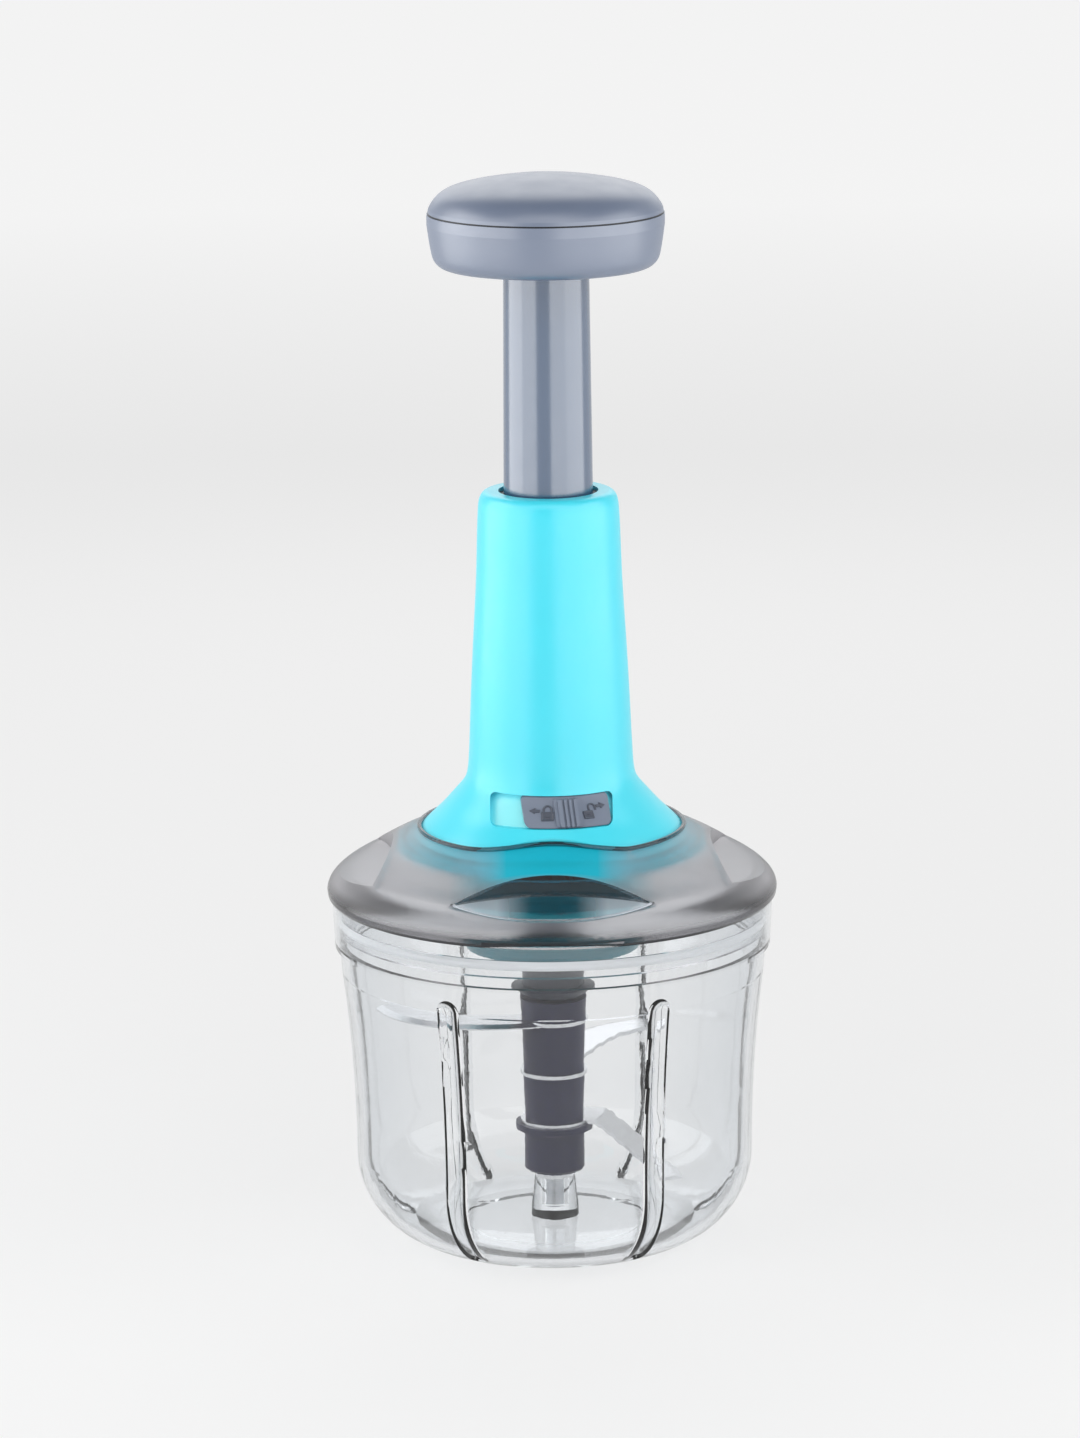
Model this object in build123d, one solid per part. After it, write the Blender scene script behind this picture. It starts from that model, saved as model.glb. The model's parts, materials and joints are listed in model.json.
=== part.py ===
from build123d import *
from math import acos, cos, degrees, hypot, pi, radians, sin
import os

# Push-down food chopper: pressing the knob drives a nut down a twisted steel strip, the strip spins
# and turns the blades in the bowl through a one-way clutch. A coil spring lifts the knob again.
# Millimetres, +Z up, origin at the centre of the bowl's base. The lock slider faces -Y.
# Azimuths are degrees from the front (-Y) towards +X.

# ---------------------------------------------------------------- fits and motion
RUN_GAP = 0.06          # radial, a shaft in its bush
SLIDE_GAP = 0.10        # radial, the plunger tube in its sleeve
TWIST_GAP = 0.15        # each side, the twisted strip in its nut
KEY_GAP = 0.05          # each side, keyed, screwed and seated joints that do not move
LOOSE_GAP = 0.30        # parts that rest on or pass each other
STROKE = 65.0           # travel of the knob
TWIST_LEAD = 40.0       # travel of the nut for one turn of the strip
LOCK_TURN = 20.0        # degrees from unlocked to locked

# ---------------------------------------------------------------- bowl
BOWL_TOP = 111.5
BOWL_R = 63.0           # outer radius where the side meets the rounded corner
CORNER_R = 28.0
BOWL_WALL, BAND_WALL, FLOOR_WALL = 2.6, 2.65, 3.8
BELLY_R, BELLY_Z = BOWL_R + 1.1, BOWL_TOP - 51.2
SHOULDER_R, SHOULDER_Z = BOWL_R + 3.9, BOWL_TOP - 23.5
NECK_R, NECK_Z = BOWL_R + 4.4, BOWL_TOP - 15.5
BAND_LOW_R, BAND_LOW_Z = BOWL_R + 5.9, BOWL_TOP - 15.1
BAND_TOP_R = BOWL_R + 6.65
LEDGE_Z = BOWL_TOP - 13.5
BASE_RECESS_R, BASE_RECESS = BOWL_R - CORNER_R - 6.0, 1.0
FLUTE_R, FLUTE_DEPTH, FLUTE_END = 3.0, 1.6, 32.0
FLUTE_AZIMUTHS = (30, 90, 150, 210, 270, 330)
FOOT_R = BOWL_R - CORNER_R
BOWL_FLOOR = BASE_RECESS + FLOOR_WALL
BAND_BORE = BAND_TOP_R - BAND_WALL

# ---------------------------------------------------------------- lid
PLUNGER_R = 13.95       # outer radius of the plunger tube where it slides
BODY_R = PLUNGER_R + 8.05
FLARE_R = BODY_R + 19.3
LID_R = BAND_TOP_R + 1.35
LID_WALL, PLUG_WALL = 2.4, 3.0
LID_LOW = BOWL_TOP + LOOSE_GAP
WEB_TOP = BOWL_TOP + 16.9
WEB_LOW = WEB_TOP - LID_WALL
# share of the way from the flare to the rim, height above the bowl
LID_LINE = [(-0.178, 25.7), (0.044, 21.8), (0.293, 18.4), (0.562, 14.0), (0.764, 10.4), (0.899, 7.6),
            (0.976, 5.0), (1.0, 2.8)]
LID_CURVE = [(FLARE_R + share * (LID_R - FLARE_R), BOWL_TOP + height) for share, height in LID_LINE]
PLUG_R, PLUG_LOW = BAND_BORE - 0.7, BOWL_TOP - 10.0
PLUG_BORE = PLUG_R - PLUG_WALL
SEAL_Z, SEAL_HEIGHT, SEAL_DEPTH = BOWL_TOP - 7.5, 3.0, 1.4
NOTCH_HALF, NOTCH_HEIGHT = 21.8, 1.6
SCOOP_SWEEP_R, SCOOP_TILT = 83.0, 12.0
SCOOP_BACK_R, SCOOP_EDGE_R, SCOOP_EDGE_Z = LID_R - 21.0, LID_R - 4.0, BOWL_TOP + 8.2

# ---------------------------------------------------------------- body shell
BODY_HEIGHT = 112.5
BODY_TOP = WEB_TOP + BODY_HEIGHT
BODY_WALL = 2.2
TOP_WALL = 3.0
MOUTH_R = PLUNGER_R + 1.65
TOP_EDGE = [(-3.1, 0.0), (-1.5, -0.7), (-0.5, -2.4), (0.0, -5.6)]         # from the body's top
SIDE = [(0.7, 0.785), (1.95, 0.586), (2.9, 0.426)]                        # share of the body's height
FLARE = [(3.7, 29.9), (4.1, 24.6), (5.0, 20.9), (6.9, 18.2), (9.4, 15.4), (13.0, 11.4), (16.0, 8.5),
         (19.3, 5.0)]                                                     # above the lid's web
BODY_CURVE = ([(BODY_R + r, BODY_TOP + z) for r, z in TOP_EDGE]
              + [(BODY_R + r, WEB_TOP + share * BODY_HEIGHT) for r, share in SIDE]
              + [(BODY_R + r, WEB_TOP + z) for r, z in FLARE])
SCALLOP_DEPTH, SCALLOP_HALF = 4.7, 40.0
SCREW_RING_R, SCREW_R, SCREW_HEAD_R, SCREW_HEAD = FLARE_R - 8.3, 1.45, 2.8, 2.2
SCREW_BOSS_R, SCREW_REACH = 3.2, 8.6
SCREW_AZIMUTHS = (45, 135, 225, 315)

# ---------------------------------------------------------------- gear housing, coupler and clutch
HOUSING_R, HOUSING_WALL, HOUSING_FLOOR = SCREW_RING_R - 5.0, 2.4, 2.6
HOUSING_BOTTOM = WEB_LOW - 29.7
HOUSING_FLANGE_R, HOUSING_FLANGE = SCREW_RING_R + 4.0, 2.6
HOUSING_TOP = WEB_TOP + 2.6
SPIGOT_R = HOUSING_R + 0.6
COUPLER_R = 9.8
COUPLER_RIM_R, COUPLER_TIP_R = COUPLER_R + 3.4, COUPLER_R + 0.7
COVER_SCREW_R, COVER_HEAD_R, COVER_HEAD = 1.0, 1.9, 1.6
COVER_BOSS_R, COVER_SCREW_REACH = 2.5, 8.0
COVER_SCREW_RING_R = HOUSING_R - 5.2
COVER_AZIMUTHS = (0, 120, 240)
BUSH_WALL, BUSH_FLANGE_R, BUSH_FLANGE = 1.6, COUPLER_R + 4.2, 1.0
CLUTCH_Z = HOUSING_BOTTOM + HOUSING_FLOOR + BUSH_FLANGE + LOOSE_GAP
CLUTCH_R, CLUTCH_DISC = COVER_SCREW_RING_R - COVER_BOSS_R - 0.7, 2.0
RATCHET_ROOT_R = CLUTCH_R - 1.8
RATCHET_TIP_R, RATCHET_TEETH, RATCHET_HEIGHT = RATCHET_ROOT_R - 1.6, 12, 8.0
RATCHET_Z = CLUTCH_Z + CLUTCH_DISC
PEG_R, PEG_RING_R, PEG_HEIGHT, PEG_AZIMUTHS = 0.8, CLUTCH_R - 1.05, 3.0, (45, 165, 285)
WASHER, WASHER_R = 0.6, 8.5
CARRIER_Z, CARRIER_R, CARRIER_BOSS_R = RATCHET_Z + WASHER, RATCHET_TIP_R - 3.6, 6.5
PAWL_FLOOR, PAWL_GAP = 1.4, 0.15
PAWL_HEIGHT = RATCHET_HEIGHT - 2 * PAWL_FLOOR
SHANK_R = 3.5
SEAT_PLATE_Z, SEAT_PLATE, SEAT_PLATE_R = CARRIER_Z + RATCHET_HEIGHT + 3.8, 3.0, HOUSING_R - HOUSING_WALL - 0.2
CARRIER_PIN_R, CARRIER_PIN_Z = 0.9, SEAT_PLATE_Z - LOOSE_GAP - 1.8
SPRING_SEAT = SEAT_PLATE_Z + SEAT_PLATE
STRIP_BOTTOM = SPRING_SEAT + 1.0

# ---------------------------------------------------------------- blade unit
HUB_TOP = HOUSING_BOTTOM - 17.9
COUPLER_BOTTOM = HUB_TOP + 1.3
HUB_BOTTOM = 21.0
HUB_BASE_R, HUB_FLANGE_R, HUB_FLANGE = 9.6, 12.0, 2.9
HUB_TOP_R, HUB_WAIST_R = 10.5, 9.2
BLADE_THICK, BLADE_RING_R, BEVEL_DEPTH, BEVEL_WIDTH = 1.2, 10.8, 0.8, 2.6
LOW_BLADE_Z, TOP_BLADE_Z = 36.9, HUB_TOP - 8.0
MID_BLADE_Z = LOW_BLADE_Z + 0.486 * (TOP_BLADE_Z - LOW_BLADE_Z)
BLADE_REACH, LOW_BLADE_REACH = BOWL_R - 5.2, BOWL_R - 19.0
POST_FLATS, POST_TOP = 9.2, HUB_TOP - 2.9
NOSE_FLATS, NOSE_TOP = 12.0, HUB_TOP + 10.1
HUB_SCREW_R, HUB_SCREW_HEAD_R, HUB_SCREW_HEAD = 1.5, 2.9, 2.2
HUB_SCREW_SEAT, HUB_SCREW_LOW = NOSE_TOP - 3.0, HUB_TOP - 15.0
PIN_R, PIN_BOTTOM, PIN_TOP = 3.0, 9.0, HUB_SCREW_LOW - 11.4
PIN_BOSS_R, PIN_BOSS_TOP = 8.0, HUB_BOTTOM - 2.0

# ---------------------------------------------------------------- plunger and spring
SPRING_SOLID = 17.4     # room left for the spring when the knob is down
FOOT_Z, FOOT_FLANGE, FOOT_SPIGOT = SPRING_SEAT + STROKE + SPRING_SOLID, 6.0, 12.0
FOOT_TOP = FOOT_Z + FOOT_FLANGE
FOOT_FLANGE_R, FOOT_BORE = PLUNGER_R + 3.65, 5.5
TUBE_WALL, TUBE_TAPER = 2.0, 0.65
TUBE_TOP_R = PLUNGER_R - TUBE_TAPER
KEY_R, KEY_WIDTH, KEY_HEIGHT = PLUNGER_R + 5.25, 4.0, 14.0
KEY_AZIMUTHS = (90, 270)
RIB_R, RIB_THICK = KEY_R - 1.0, 2.0
NUT_FLATS, NUT_HEIGHT = 15.0, 7.6
NUT_SEAT = FOOT_Z + 8.0
STRIP_WIDTH, STRIP_THICK = 8.4, 2.6
SPRING_R, SPRING_WIRE_R, SPRING_TURNS = PLUNGER_R - 2.35, 0.75, 8.5
SLEEVE_LOW, SLEEVE_R = FOOT_TOP + LOOSE_GAP, PLUNGER_R + 2.25
SLEEVE_FLANGE_R, SLEEVE_FLANGE = BODY_R - BODY_WALL - 0.1, 3.4
SLEEVE_FLANGE_LOW = BODY_TOP - TOP_WALL - SLEEVE_FLANGE
KEY_TOP = FOOT_Z + KEY_HEIGHT
RIB_TOP = KEY_TOP + 0.16 * (SLEEVE_FLANGE_LOW - KEY_TOP)
TOWER_BORE, TOWER_R = KEY_R + 1.0, KEY_R + 3.0

# ---------------------------------------------------------------- knob
KNOB_R = 36.75
KNOB_BOTTOM = BODY_TOP + STROKE + 4.9
KNOB_SEAM = KNOB_BOTTOM + 16.8
KNOB_WALL = 2.4
KNOB_UNDER = [(-5.95, 0.2), (-3.45, 1.0), (-1.95, 2.8), (-1.25, 5.3), (-0.55, 9.5), (0.0, 13.5)]
KNOB_CROWN = [(0.0, 11.9), (0.27, 11.5), (0.54, 10.1), (0.735, 8.6), (0.87, 6.6), (0.952, 3.7), (0.985, 1.6)]
KNOB_SOCKET_R, KNOB_SOCKET_TOP = PLUNGER_R + 3.0, KNOB_BOTTOM + 14.2
TUBE_TOP = KNOB_BOTTOM + 11.2
PLUG_BOTTOM = TUBE_TOP - 14.0
KNOB_SCREW_R, KNOB_SCREW_HEAD_R, KNOB_SCREW_HEAD = 2.0, 4.0, 2.2
STRIP_TOP = PLUG_BOTTOM - STROKE - 5.0

# ---------------------------------------------------------------- lock
LOCK_REST = LOCK_TURN / 2
LOCK_RING_LOW, LOCK_RING_HEIGHT = FOOT_TOP - STROKE + 0.5, 5.0
LOCK_RING_TOP = LOCK_RING_LOW + LOCK_RING_HEIGHT
LOCK_RING_BORE, LOCK_RING_R = KEY_R + 0.6, KEY_R + 3.4
LUG_R, LUG_HALF = PLUNGER_R + 0.45, 6.0
TOWER_TOP = LOCK_RING_LOW - LOOSE_GAP
SLIDER_HALF, SLIDER_LOW, SLIDER_HIGH = 13.6, LOCK_RING_LOW - 0.9, LOCK_RING_TOP + 2.5
SLIDER_SINK, SLIDER_THICK, SLIDER_CORNER = 0.7, 1.7, 1.6     # the sink is its depth below the flare's surface
SLIDER_OUT_R = BODY_R + 12.3 - SLIDER_SINK                   # at its lower edge
POCKET_HALF = (SLIDER_HALF * cos(radians(LOCK_REST)) + LOOSE_GAP
               + (SLIDER_OUT_R ** 2 - SLIDER_HALF ** 2) ** 0.5 * sin(radians(LOCK_REST)))
POCKET_DEPTH, POCKET_BACK = SLIDER_SINK + SLIDER_THICK + 0.2, 2.0
GRIP_HALF, GRIP_FOOT_HALF, GRIP_OUT, GRIP_GROOVES = 3.1, 4.2, 1.6, (-1.4, 0.1, 1.6)
STEM_HALF, STEM_SINK = 5.0, 0.7
STEM_LOW, STEM_TOP = LOCK_RING_LOW + 1.0, LOCK_RING_TOP - 1.0
LEAF_THICK, LEAF_HALF, LEAF_LEG = 0.4, 20.0, 3.9


# ---------------------------------------------------------------- helpers
def ring(r_out, r_in, low, high):
    """Upright round plate, or tube where the inner radius is above zero."""
    outline = Circle(r_out) - Circle(r_in) if r_in > 0 else Circle(r_out)
    return Pos(0, 0, low) * extrude(outline, high - low)


def straight(*points):
    """Run of lines through points (radius, height)."""
    return Polyline(*[(r, 0, z) for r, z in points])


def smooth(points):
    """Curve through points (radius, height)."""
    return Spline(*[(r, 0, z) for r, z in points])


def arc_through(*points):
    """Arc through three points (radius, height)."""
    return ThreePointArc(*[(r, 0, z) for r, z in points])


def turned(*edges):
    """Solid of revolution about Z from the edges of a closed outline."""
    return revolve(make_face(Curve() + list(edges)), Axis.Z)


def lathe(*points):
    """Solid of revolution from the corners (radius, height) of a closed outline."""
    return revolve(make_face(straight(*points, points[0])), Axis.Z)


def inset(points, wall):
    """Profile points, listed from the top down, moved inwards square to the profile."""
    moved = []
    for i, (r, z) in enumerate(points):
        (r0, z0), (r1, z1) = points[max(i - 1, 0)], points[min(i + 1, len(points) - 1)]
        dr, dz = r1 - r0, z1 - z0
        moved.append((r + wall * dz / hypot(dr, dz), z - wall * dr / hypot(dr, dz)))
    return moved


def at_azimuth(azimuth, shape):
    """Shape built on the +X axis, turned to an azimuth."""
    return Rot(0, 0, azimuth - 90) * shape


def sector(points, azimuth, half):
    """Part-turn of a closed outline (radius, height), centred on an azimuth."""
    outline = make_face(straight(*points, points[0]))
    return at_azimuth(azimuth - half, revolve(outline, Axis.Z, revolution_arc=2 * half))


def block(r_in, r_out, low, high):
    """Corners of a rectangle (radius, height)."""
    return [(r_in, low), (r_out, low), (r_out, high), (r_in, high)]


def prism(flats, sides, low, high):
    """Upright bar with a number of sides, sized across the flats."""
    return Pos(0, 0, low) * extrude(RegularPolygon(flats / 2, sides, major_radius=False), high - low)


def pegs(r_peg, r_ring, azimuths, low, high):
    """Upright round bars on a circle."""
    return [at_azimuth(a, Pos(r_ring, 0, 0) * ring(r_peg, 0, low, high)) for a in azimuths]


def twisted_bar(gap, low, high):
    """Stretch of the twisted strip, made thicker by a gap all round."""
    span = high - low
    turn = 360 * (low - STRIP_BOTTOM) / TWIST_LEAD
    outline = Pos(0, 0, low) * Rot(0, 0, turn) * Rectangle(STRIP_WIDTH + 2 * gap, STRIP_THICK + 2 * gap)
    return Solid.extrude_linear_with_rotation(outline.face(), (0, 0, low), (0, 0, span),
                                              360 * span / TWIST_LEAD)


def flare_outline(grow):
    """Plan of the flare's edge: a circle with a shallow wave at the front and at the back."""
    edge_r = FLARE_R + grow

    def on_plan(r, azimuth):
        return (r * sin(radians(azimuth)), -r * cos(radians(azimuth)))

    azimuths = [SCALLOP_HALF * (i / 5 - 1) for i in range(11)]
    wave = [edge_r - SCALLOP_DEPTH * 0.5 * (1 + cos(pi * a / SCALLOP_HALF)) for a in azimuths]
    headings = [(cos(radians(a)), sin(radians(a))) for a in (azimuths[0], azimuths[-1])]
    front = Spline(*[on_plan(r, a) for r, a in zip(wave, azimuths)], tangents=headings)
    side = ThreePointArc(*[on_plan(edge_r, a) for a in (SCALLOP_HALF, 90, 180 - SCALLOP_HALF)])
    half_turn = Rot(0, 0, 180)
    return make_face(Curve() + [front, side, half_turn * front, half_turn * side])


# ---------------------------------------------------------------- bowl
def corner_arc(radius, start, end):
    """Arc of the bowl's bottom corner between two angles counted from straight down."""
    angles = (start, (start + end) / 2, end)
    return arc_through(*[(FOOT_R + radius * sin(radians(a)), CORNER_R - radius * cos(radians(a)))
                         for a in angles])


def side_arc(outward):
    """Arc of the bowl's side, moved outwards."""
    return arc_through((BOWL_R + outward, CORNER_R), (BELLY_R + outward, BELLY_Z),
                       (SHOULDER_R + outward, SHOULDER_Z))


def bowl_outer():
    return turned(
        straight((0, 0), (FOOT_R, 0)), corner_arc(CORNER_R, 0, 90), side_arc(0),
        straight((SHOULDER_R, SHOULDER_Z), (NECK_R, NECK_Z), (BAND_LOW_R, BAND_LOW_Z),
                 (BAND_TOP_R, BOWL_TOP), (0, BOWL_TOP), (0, 0)))


def bowl_hollow():
    inner_r = CORNER_R - BOWL_WALL
    floor_angle = degrees(acos((CORNER_R - BOWL_FLOOR) / inner_r))
    floor_r = FOOT_R + inner_r * sin(radians(floor_angle))
    return turned(
        straight((0, BOWL_FLOOR), (floor_r, BOWL_FLOOR)),
        corner_arc(inner_r, floor_angle, 90), side_arc(-BOWL_WALL),
        straight((SHOULDER_R - BOWL_WALL, SHOULDER_Z), (NECK_R - BOWL_WALL, LEDGE_Z), (BAND_BORE, LEDGE_Z),
                 (BAND_BORE, BOWL_TOP), (0, BOWL_TOP), (0, BOWL_FLOOR)))


def flute_bar(radius):
    """Round bar down the bowl's side and in under its corner, on the +X side, with round ends."""
    outward = FLUTE_R - FLUTE_DEPTH
    corner = corner_arc(CORNER_R + outward, FLUTE_END, 90)
    side = TangentArc(corner @ 1, (SHOULDER_R + outward, 0, SHOULDER_Z), tangent=corner % 1)
    bar = sweep(Plane(corner @ 0, z_dir=corner % 0) * Circle(radius), path=Wire([corner, side]))
    return bar + [Pos(*end) * Sphere(radius) for end in (corner @ 0, side @ 1)]


def bowl():
    shell, hollow = bowl_outer(), bowl_hollow()
    groove, ridge = flute_bar(FLUTE_R), flute_bar(FLUTE_R + BOWL_WALL)
    for azimuth in FLUTE_AZIMUTHS:
        shell -= at_azimuth(azimuth, groove)
        hollow -= at_azimuth(azimuth, ridge)
    boss = lathe((0, BOWL_FLOOR - 1), (PIN_BOSS_R, BOWL_FLOOR - 1), (PIN_BOSS_R - 1.5, PIN_BOSS_TOP),
                 (0, PIN_BOSS_TOP))
    return (shell - hollow + boss - ring(BASE_RECESS_R, 0, 0, BASE_RECESS)
            - ring(PIN_R + KEY_GAP, 0, PIN_BOTTOM, PIN_BOSS_TOP))


def bowl_pin():
    return lathe((0, PIN_BOTTOM), (PIN_R, PIN_BOTTOM), (PIN_R, PIN_TOP - 1), (PIN_R - 1, PIN_TOP),
                 (0, PIN_TOP))


# ---------------------------------------------------------------- blade unit
def blade(ring_z, root_angle, reach, bend_start, bend_end, rise, ground_from):
    """Sickle blade: a keyed ring with one swept arm, bent up or down along its length, and a bevel ground
    on top of the leading edge from a distance along the arm."""
    lead = Spline((0, 9.0), (0.40 * reach, 13.0), (0.65 * reach, 9.8), (0.88 * reach, 0.0), (reach, -12.0))
    trail = Spline((0.87 * reach, -16.0), (0.67 * reach, -5.0), (0.45 * reach, -2.4), (0, -3.5))
    plan = make_face(Curve() + [lead, Line(lead @ 1, trail @ 0), trail, Line(trail @ 1, lead @ 0)])
    lowest, highest = ring_z + min(rise, 0), ring_z + BLADE_THICK + max(rise, 0)
    under = [(-1, ring_z), (bend_start, ring_z), (bend_end, ring_z + rise), (reach + 1, ring_z + rise)]
    over = [(x, z + BLADE_THICK) for x, z in reversed(under)]
    sheet = extrude(make_face(straight(*under, *over, under[0])), 30, both=True)
    arm = (Pos(0, 0, lowest) * extrude(plan, highest - lowest)) & sheet

    def on_cutting_edge(edge):
        middle = edge @ 0.5
        share = min(max((middle.X - bend_start) / (bend_end - bend_start), 0), 1)
        upper = middle.Z > ring_z + share * rise + BLADE_THICK / 2
        return upper and middle.X > ground_from and lead.distance_to(Vertex(middle.X, middle.Y, 0)) < 0.01

    edges = [e for e in arm.edges() if e.length > 2 * BLADE_THICK and on_cutting_edge(e)]
    blank = chamfer(edges, BEVEL_DEPTH, BEVEL_WIDTH) + ring(BLADE_RING_R, 0, ring_z, ring_z + BLADE_THICK)
    return Rot(0, 0, root_angle) * blank - prism(POST_FLATS + 2 * KEY_GAP, 4, lowest - 1, highest + 1)


def hub_base():
    flange_z = LOW_BLADE_Z - HUB_FLANGE
    foot = lathe((0, HUB_BOTTOM), (HUB_BASE_R - 1, HUB_BOTTOM), (HUB_BASE_R, HUB_BOTTOM + 1),
                 (HUB_BASE_R, flange_z), (HUB_FLANGE_R, flange_z + 0.8), (HUB_FLANGE_R, LOW_BLADE_Z),
                 (0, LOW_BLADE_Z))
    return (foot + prism(POST_FLATS, 4, LOW_BLADE_Z, POST_TOP)
            - ring(PIN_R + RUN_GAP, 0, HUB_BOTTOM, PIN_TOP + LOOSE_GAP)
            - ring(HUB_SCREW_R + KEY_GAP, 0, HUB_SCREW_LOW, POST_TOP))


def hub_spacer(low, high, low_r, high_r):
    body = lathe((0, low), (low_r, low), (high_r, high), (0, high))
    return body - prism(POST_FLATS + 2 * KEY_GAP, 4, low, high)


def hub_cap():
    low = TOP_BLADE_Z + BLADE_THICK
    body = lathe((0, low), (HUB_TOP_R - 0.4, low), (HUB_TOP_R, HUB_TOP), (0, HUB_TOP))
    return (body + prism(NOSE_FLATS, 6, HUB_TOP, NOSE_TOP)
            - prism(POST_FLATS + 2 * KEY_GAP, 4, low, POST_TOP + KEY_GAP)
            - ring(HUB_SCREW_R + KEY_GAP, 0, low, NOSE_TOP)
            - ring(HUB_SCREW_HEAD_R + KEY_GAP, 0, HUB_SCREW_SEAT, NOSE_TOP))


def screw(r_shank, r_head, head, seat, tip):
    """Pan-head screw, head up, with a hexagon socket."""
    socket = prism(r_head * 0.8, 6, seat + head * 0.4, seat + head)
    return ring(r_head, 0, seat, seat + head) - socket + ring(r_shank, 0, tip, seat)


# ---------------------------------------------------------------- lid
def scoop(wall):
    """Space of the front finger scoop, grown by a wall where the inside of the lid follows it."""
    bar = Pos(0, -SCOOP_BACK_R - SCOOP_SWEEP_R, SCOOP_EDGE_Z) * Cylinder(SCOOP_SWEEP_R + wall, 60)
    above = Pos(0, -SCOOP_EDGE_R, SCOOP_EDGE_Z - wall) * Rot(SCOOP_TILT, 0, 0) * Box(
        200, 200, 60, align=(Align.CENTER, Align.CENTER, Align.MIN))
    return bar & above


def lid_solid():
    return turned(
        smooth(LID_CURVE),
        straight(LID_CURVE[-1], (LID_R - 0.2, LID_LOW + 0.9), (LID_R - 0.8, LID_LOW), (PLUG_R, LID_LOW),
                 (PLUG_R, PLUG_LOW), (0, PLUG_LOW), (0, LID_CURVE[0][1]), LID_CURVE[0]))


def lid_hollow():
    web_edge = (LID_CURVE[1][0] + 1.5, WEB_LOW)
    slope = inset(LID_CURVE, LID_WALL)[2:-3]
    rim = (PLUG_BORE, slope[-1][1] - 3.0)
    return turned(
        smooth([web_edge] + slope + [rim]),
        straight(rim, (PLUG_BORE, PLUG_LOW), (0, PLUG_LOW), (0, WEB_LOW), web_edge))


def lid():
    solid, hollow = lid_solid(), lid_hollow()
    for azimuth in (0, 90, 180, 270):
        solid -= Rot(0, 0, azimuth) * scoop(0)
        hollow -= Rot(0, 0, azimuth) * scoop(LID_WALL)
    well = Pos(0, 0, WEB_TOP) * extrude(flare_outline(LOOSE_GAP), 20)
    groove = ring(PLUG_R + 1, PLUG_R - SEAL_DEPTH, SEAL_Z, SEAL_Z + SEAL_HEIGHT)
    notch = Pos(0, -LID_R, LID_LOW) * Box(2 * NOTCH_HALF, 2 * (LID_R - PLUG_R) - 1, 2 * NOTCH_HEIGHT)
    screw_ways = pegs(SCREW_R + 0.2, SCREW_RING_R, SCREW_AZIMUTHS, WEB_LOW, WEB_TOP)
    return (solid - hollow - well - groove - notch - screw_ways
            - ring(SPIGOT_R + KEY_GAP, 0, WEB_LOW, WEB_TOP))


def lid_seal():
    inner, outer, low, high = PLUG_R - SEAL_DEPTH, BAND_BORE - LOOSE_GAP, SEAL_Z, SEAL_Z + SEAL_HEIGHT
    middle = (low + high) / 2
    return lathe((inner, low + KEY_GAP), (PLUG_R, low + KEY_GAP), (outer, middle - 0.5),
                 (outer, middle + 0.5), (PLUG_R, high - KEY_GAP), (inner, high - KEY_GAP))


# ---------------------------------------------------------------- body shell
def flare_layer(outer, inner):
    """Ring that follows the flare at the height of the lock, between two depths below its surface."""
    surface = [(BODY_R + r, WEB_TOP + z) for r, z in FLARE[1:7]]
    near, far = [smooth([(r - depth, z) for r, z in surface]) for depth in (outer, inner)]
    return turned(near, Line(near @ 1, far @ 1), far, Line(far @ 0, near @ 0))


def window(half, low, high, radius):
    """Straight-sided bar out through the front, with rounded corners."""
    outline = Plane.XZ * RectangleRounded(2 * half, high - low, radius)
    return extrude(Pos(0, 0, (low + high) / 2) * outline, FLARE_R)


def body_solid():
    turned_body = turned(
        smooth(BODY_CURVE),
        straight(BODY_CURVE[-1], (FLARE_R, WEB_TOP), (0, WEB_TOP), (0, BODY_TOP), BODY_CURVE[0]))
    return turned_body & (Pos(0, 0, WEB_TOP) * extrude(flare_outline(0), BODY_HEIGHT))


def body_hollow():
    curve = inset(BODY_CURVE, BODY_WALL)[3:-1]
    skirt_r = FLARE_R - BODY_WALL
    skirt = (skirt_r, BODY_CURVE[-1][1] - 0.4 * BODY_WALL)
    ceiling = BODY_TOP - TOP_WALL
    turned_room = turned(
        smooth(curve + [skirt]),
        straight(skirt, (skirt_r, WEB_TOP), (0, WEB_TOP), (0, ceiling), (curve[0][0], ceiling), curve[0]))
    return turned_room & (Pos(0, 0, WEB_TOP) * extrude(flare_outline(-BODY_WALL), BODY_HEIGHT))


def key_ribs():
    """Pairs of ribs that keep the plunger's keys from turning."""
    ribs = []
    for azimuth in KEY_AZIMUTHS:
        for side in (-1, 1):
            middle = side * (KEY_WIDTH / 2 + 0.25 + RIB_THICK / 2)
            rib = Pos(RIB_R, middle, LOCK_RING_TOP + 1) * Box(
                20, RIB_THICK, RIB_TOP - LOCK_RING_TOP - 1, align=(Align.MIN, Align.CENTER, Align.MIN))
            ribs.append(at_azimuth(azimuth, rib))
    return ribs


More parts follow.
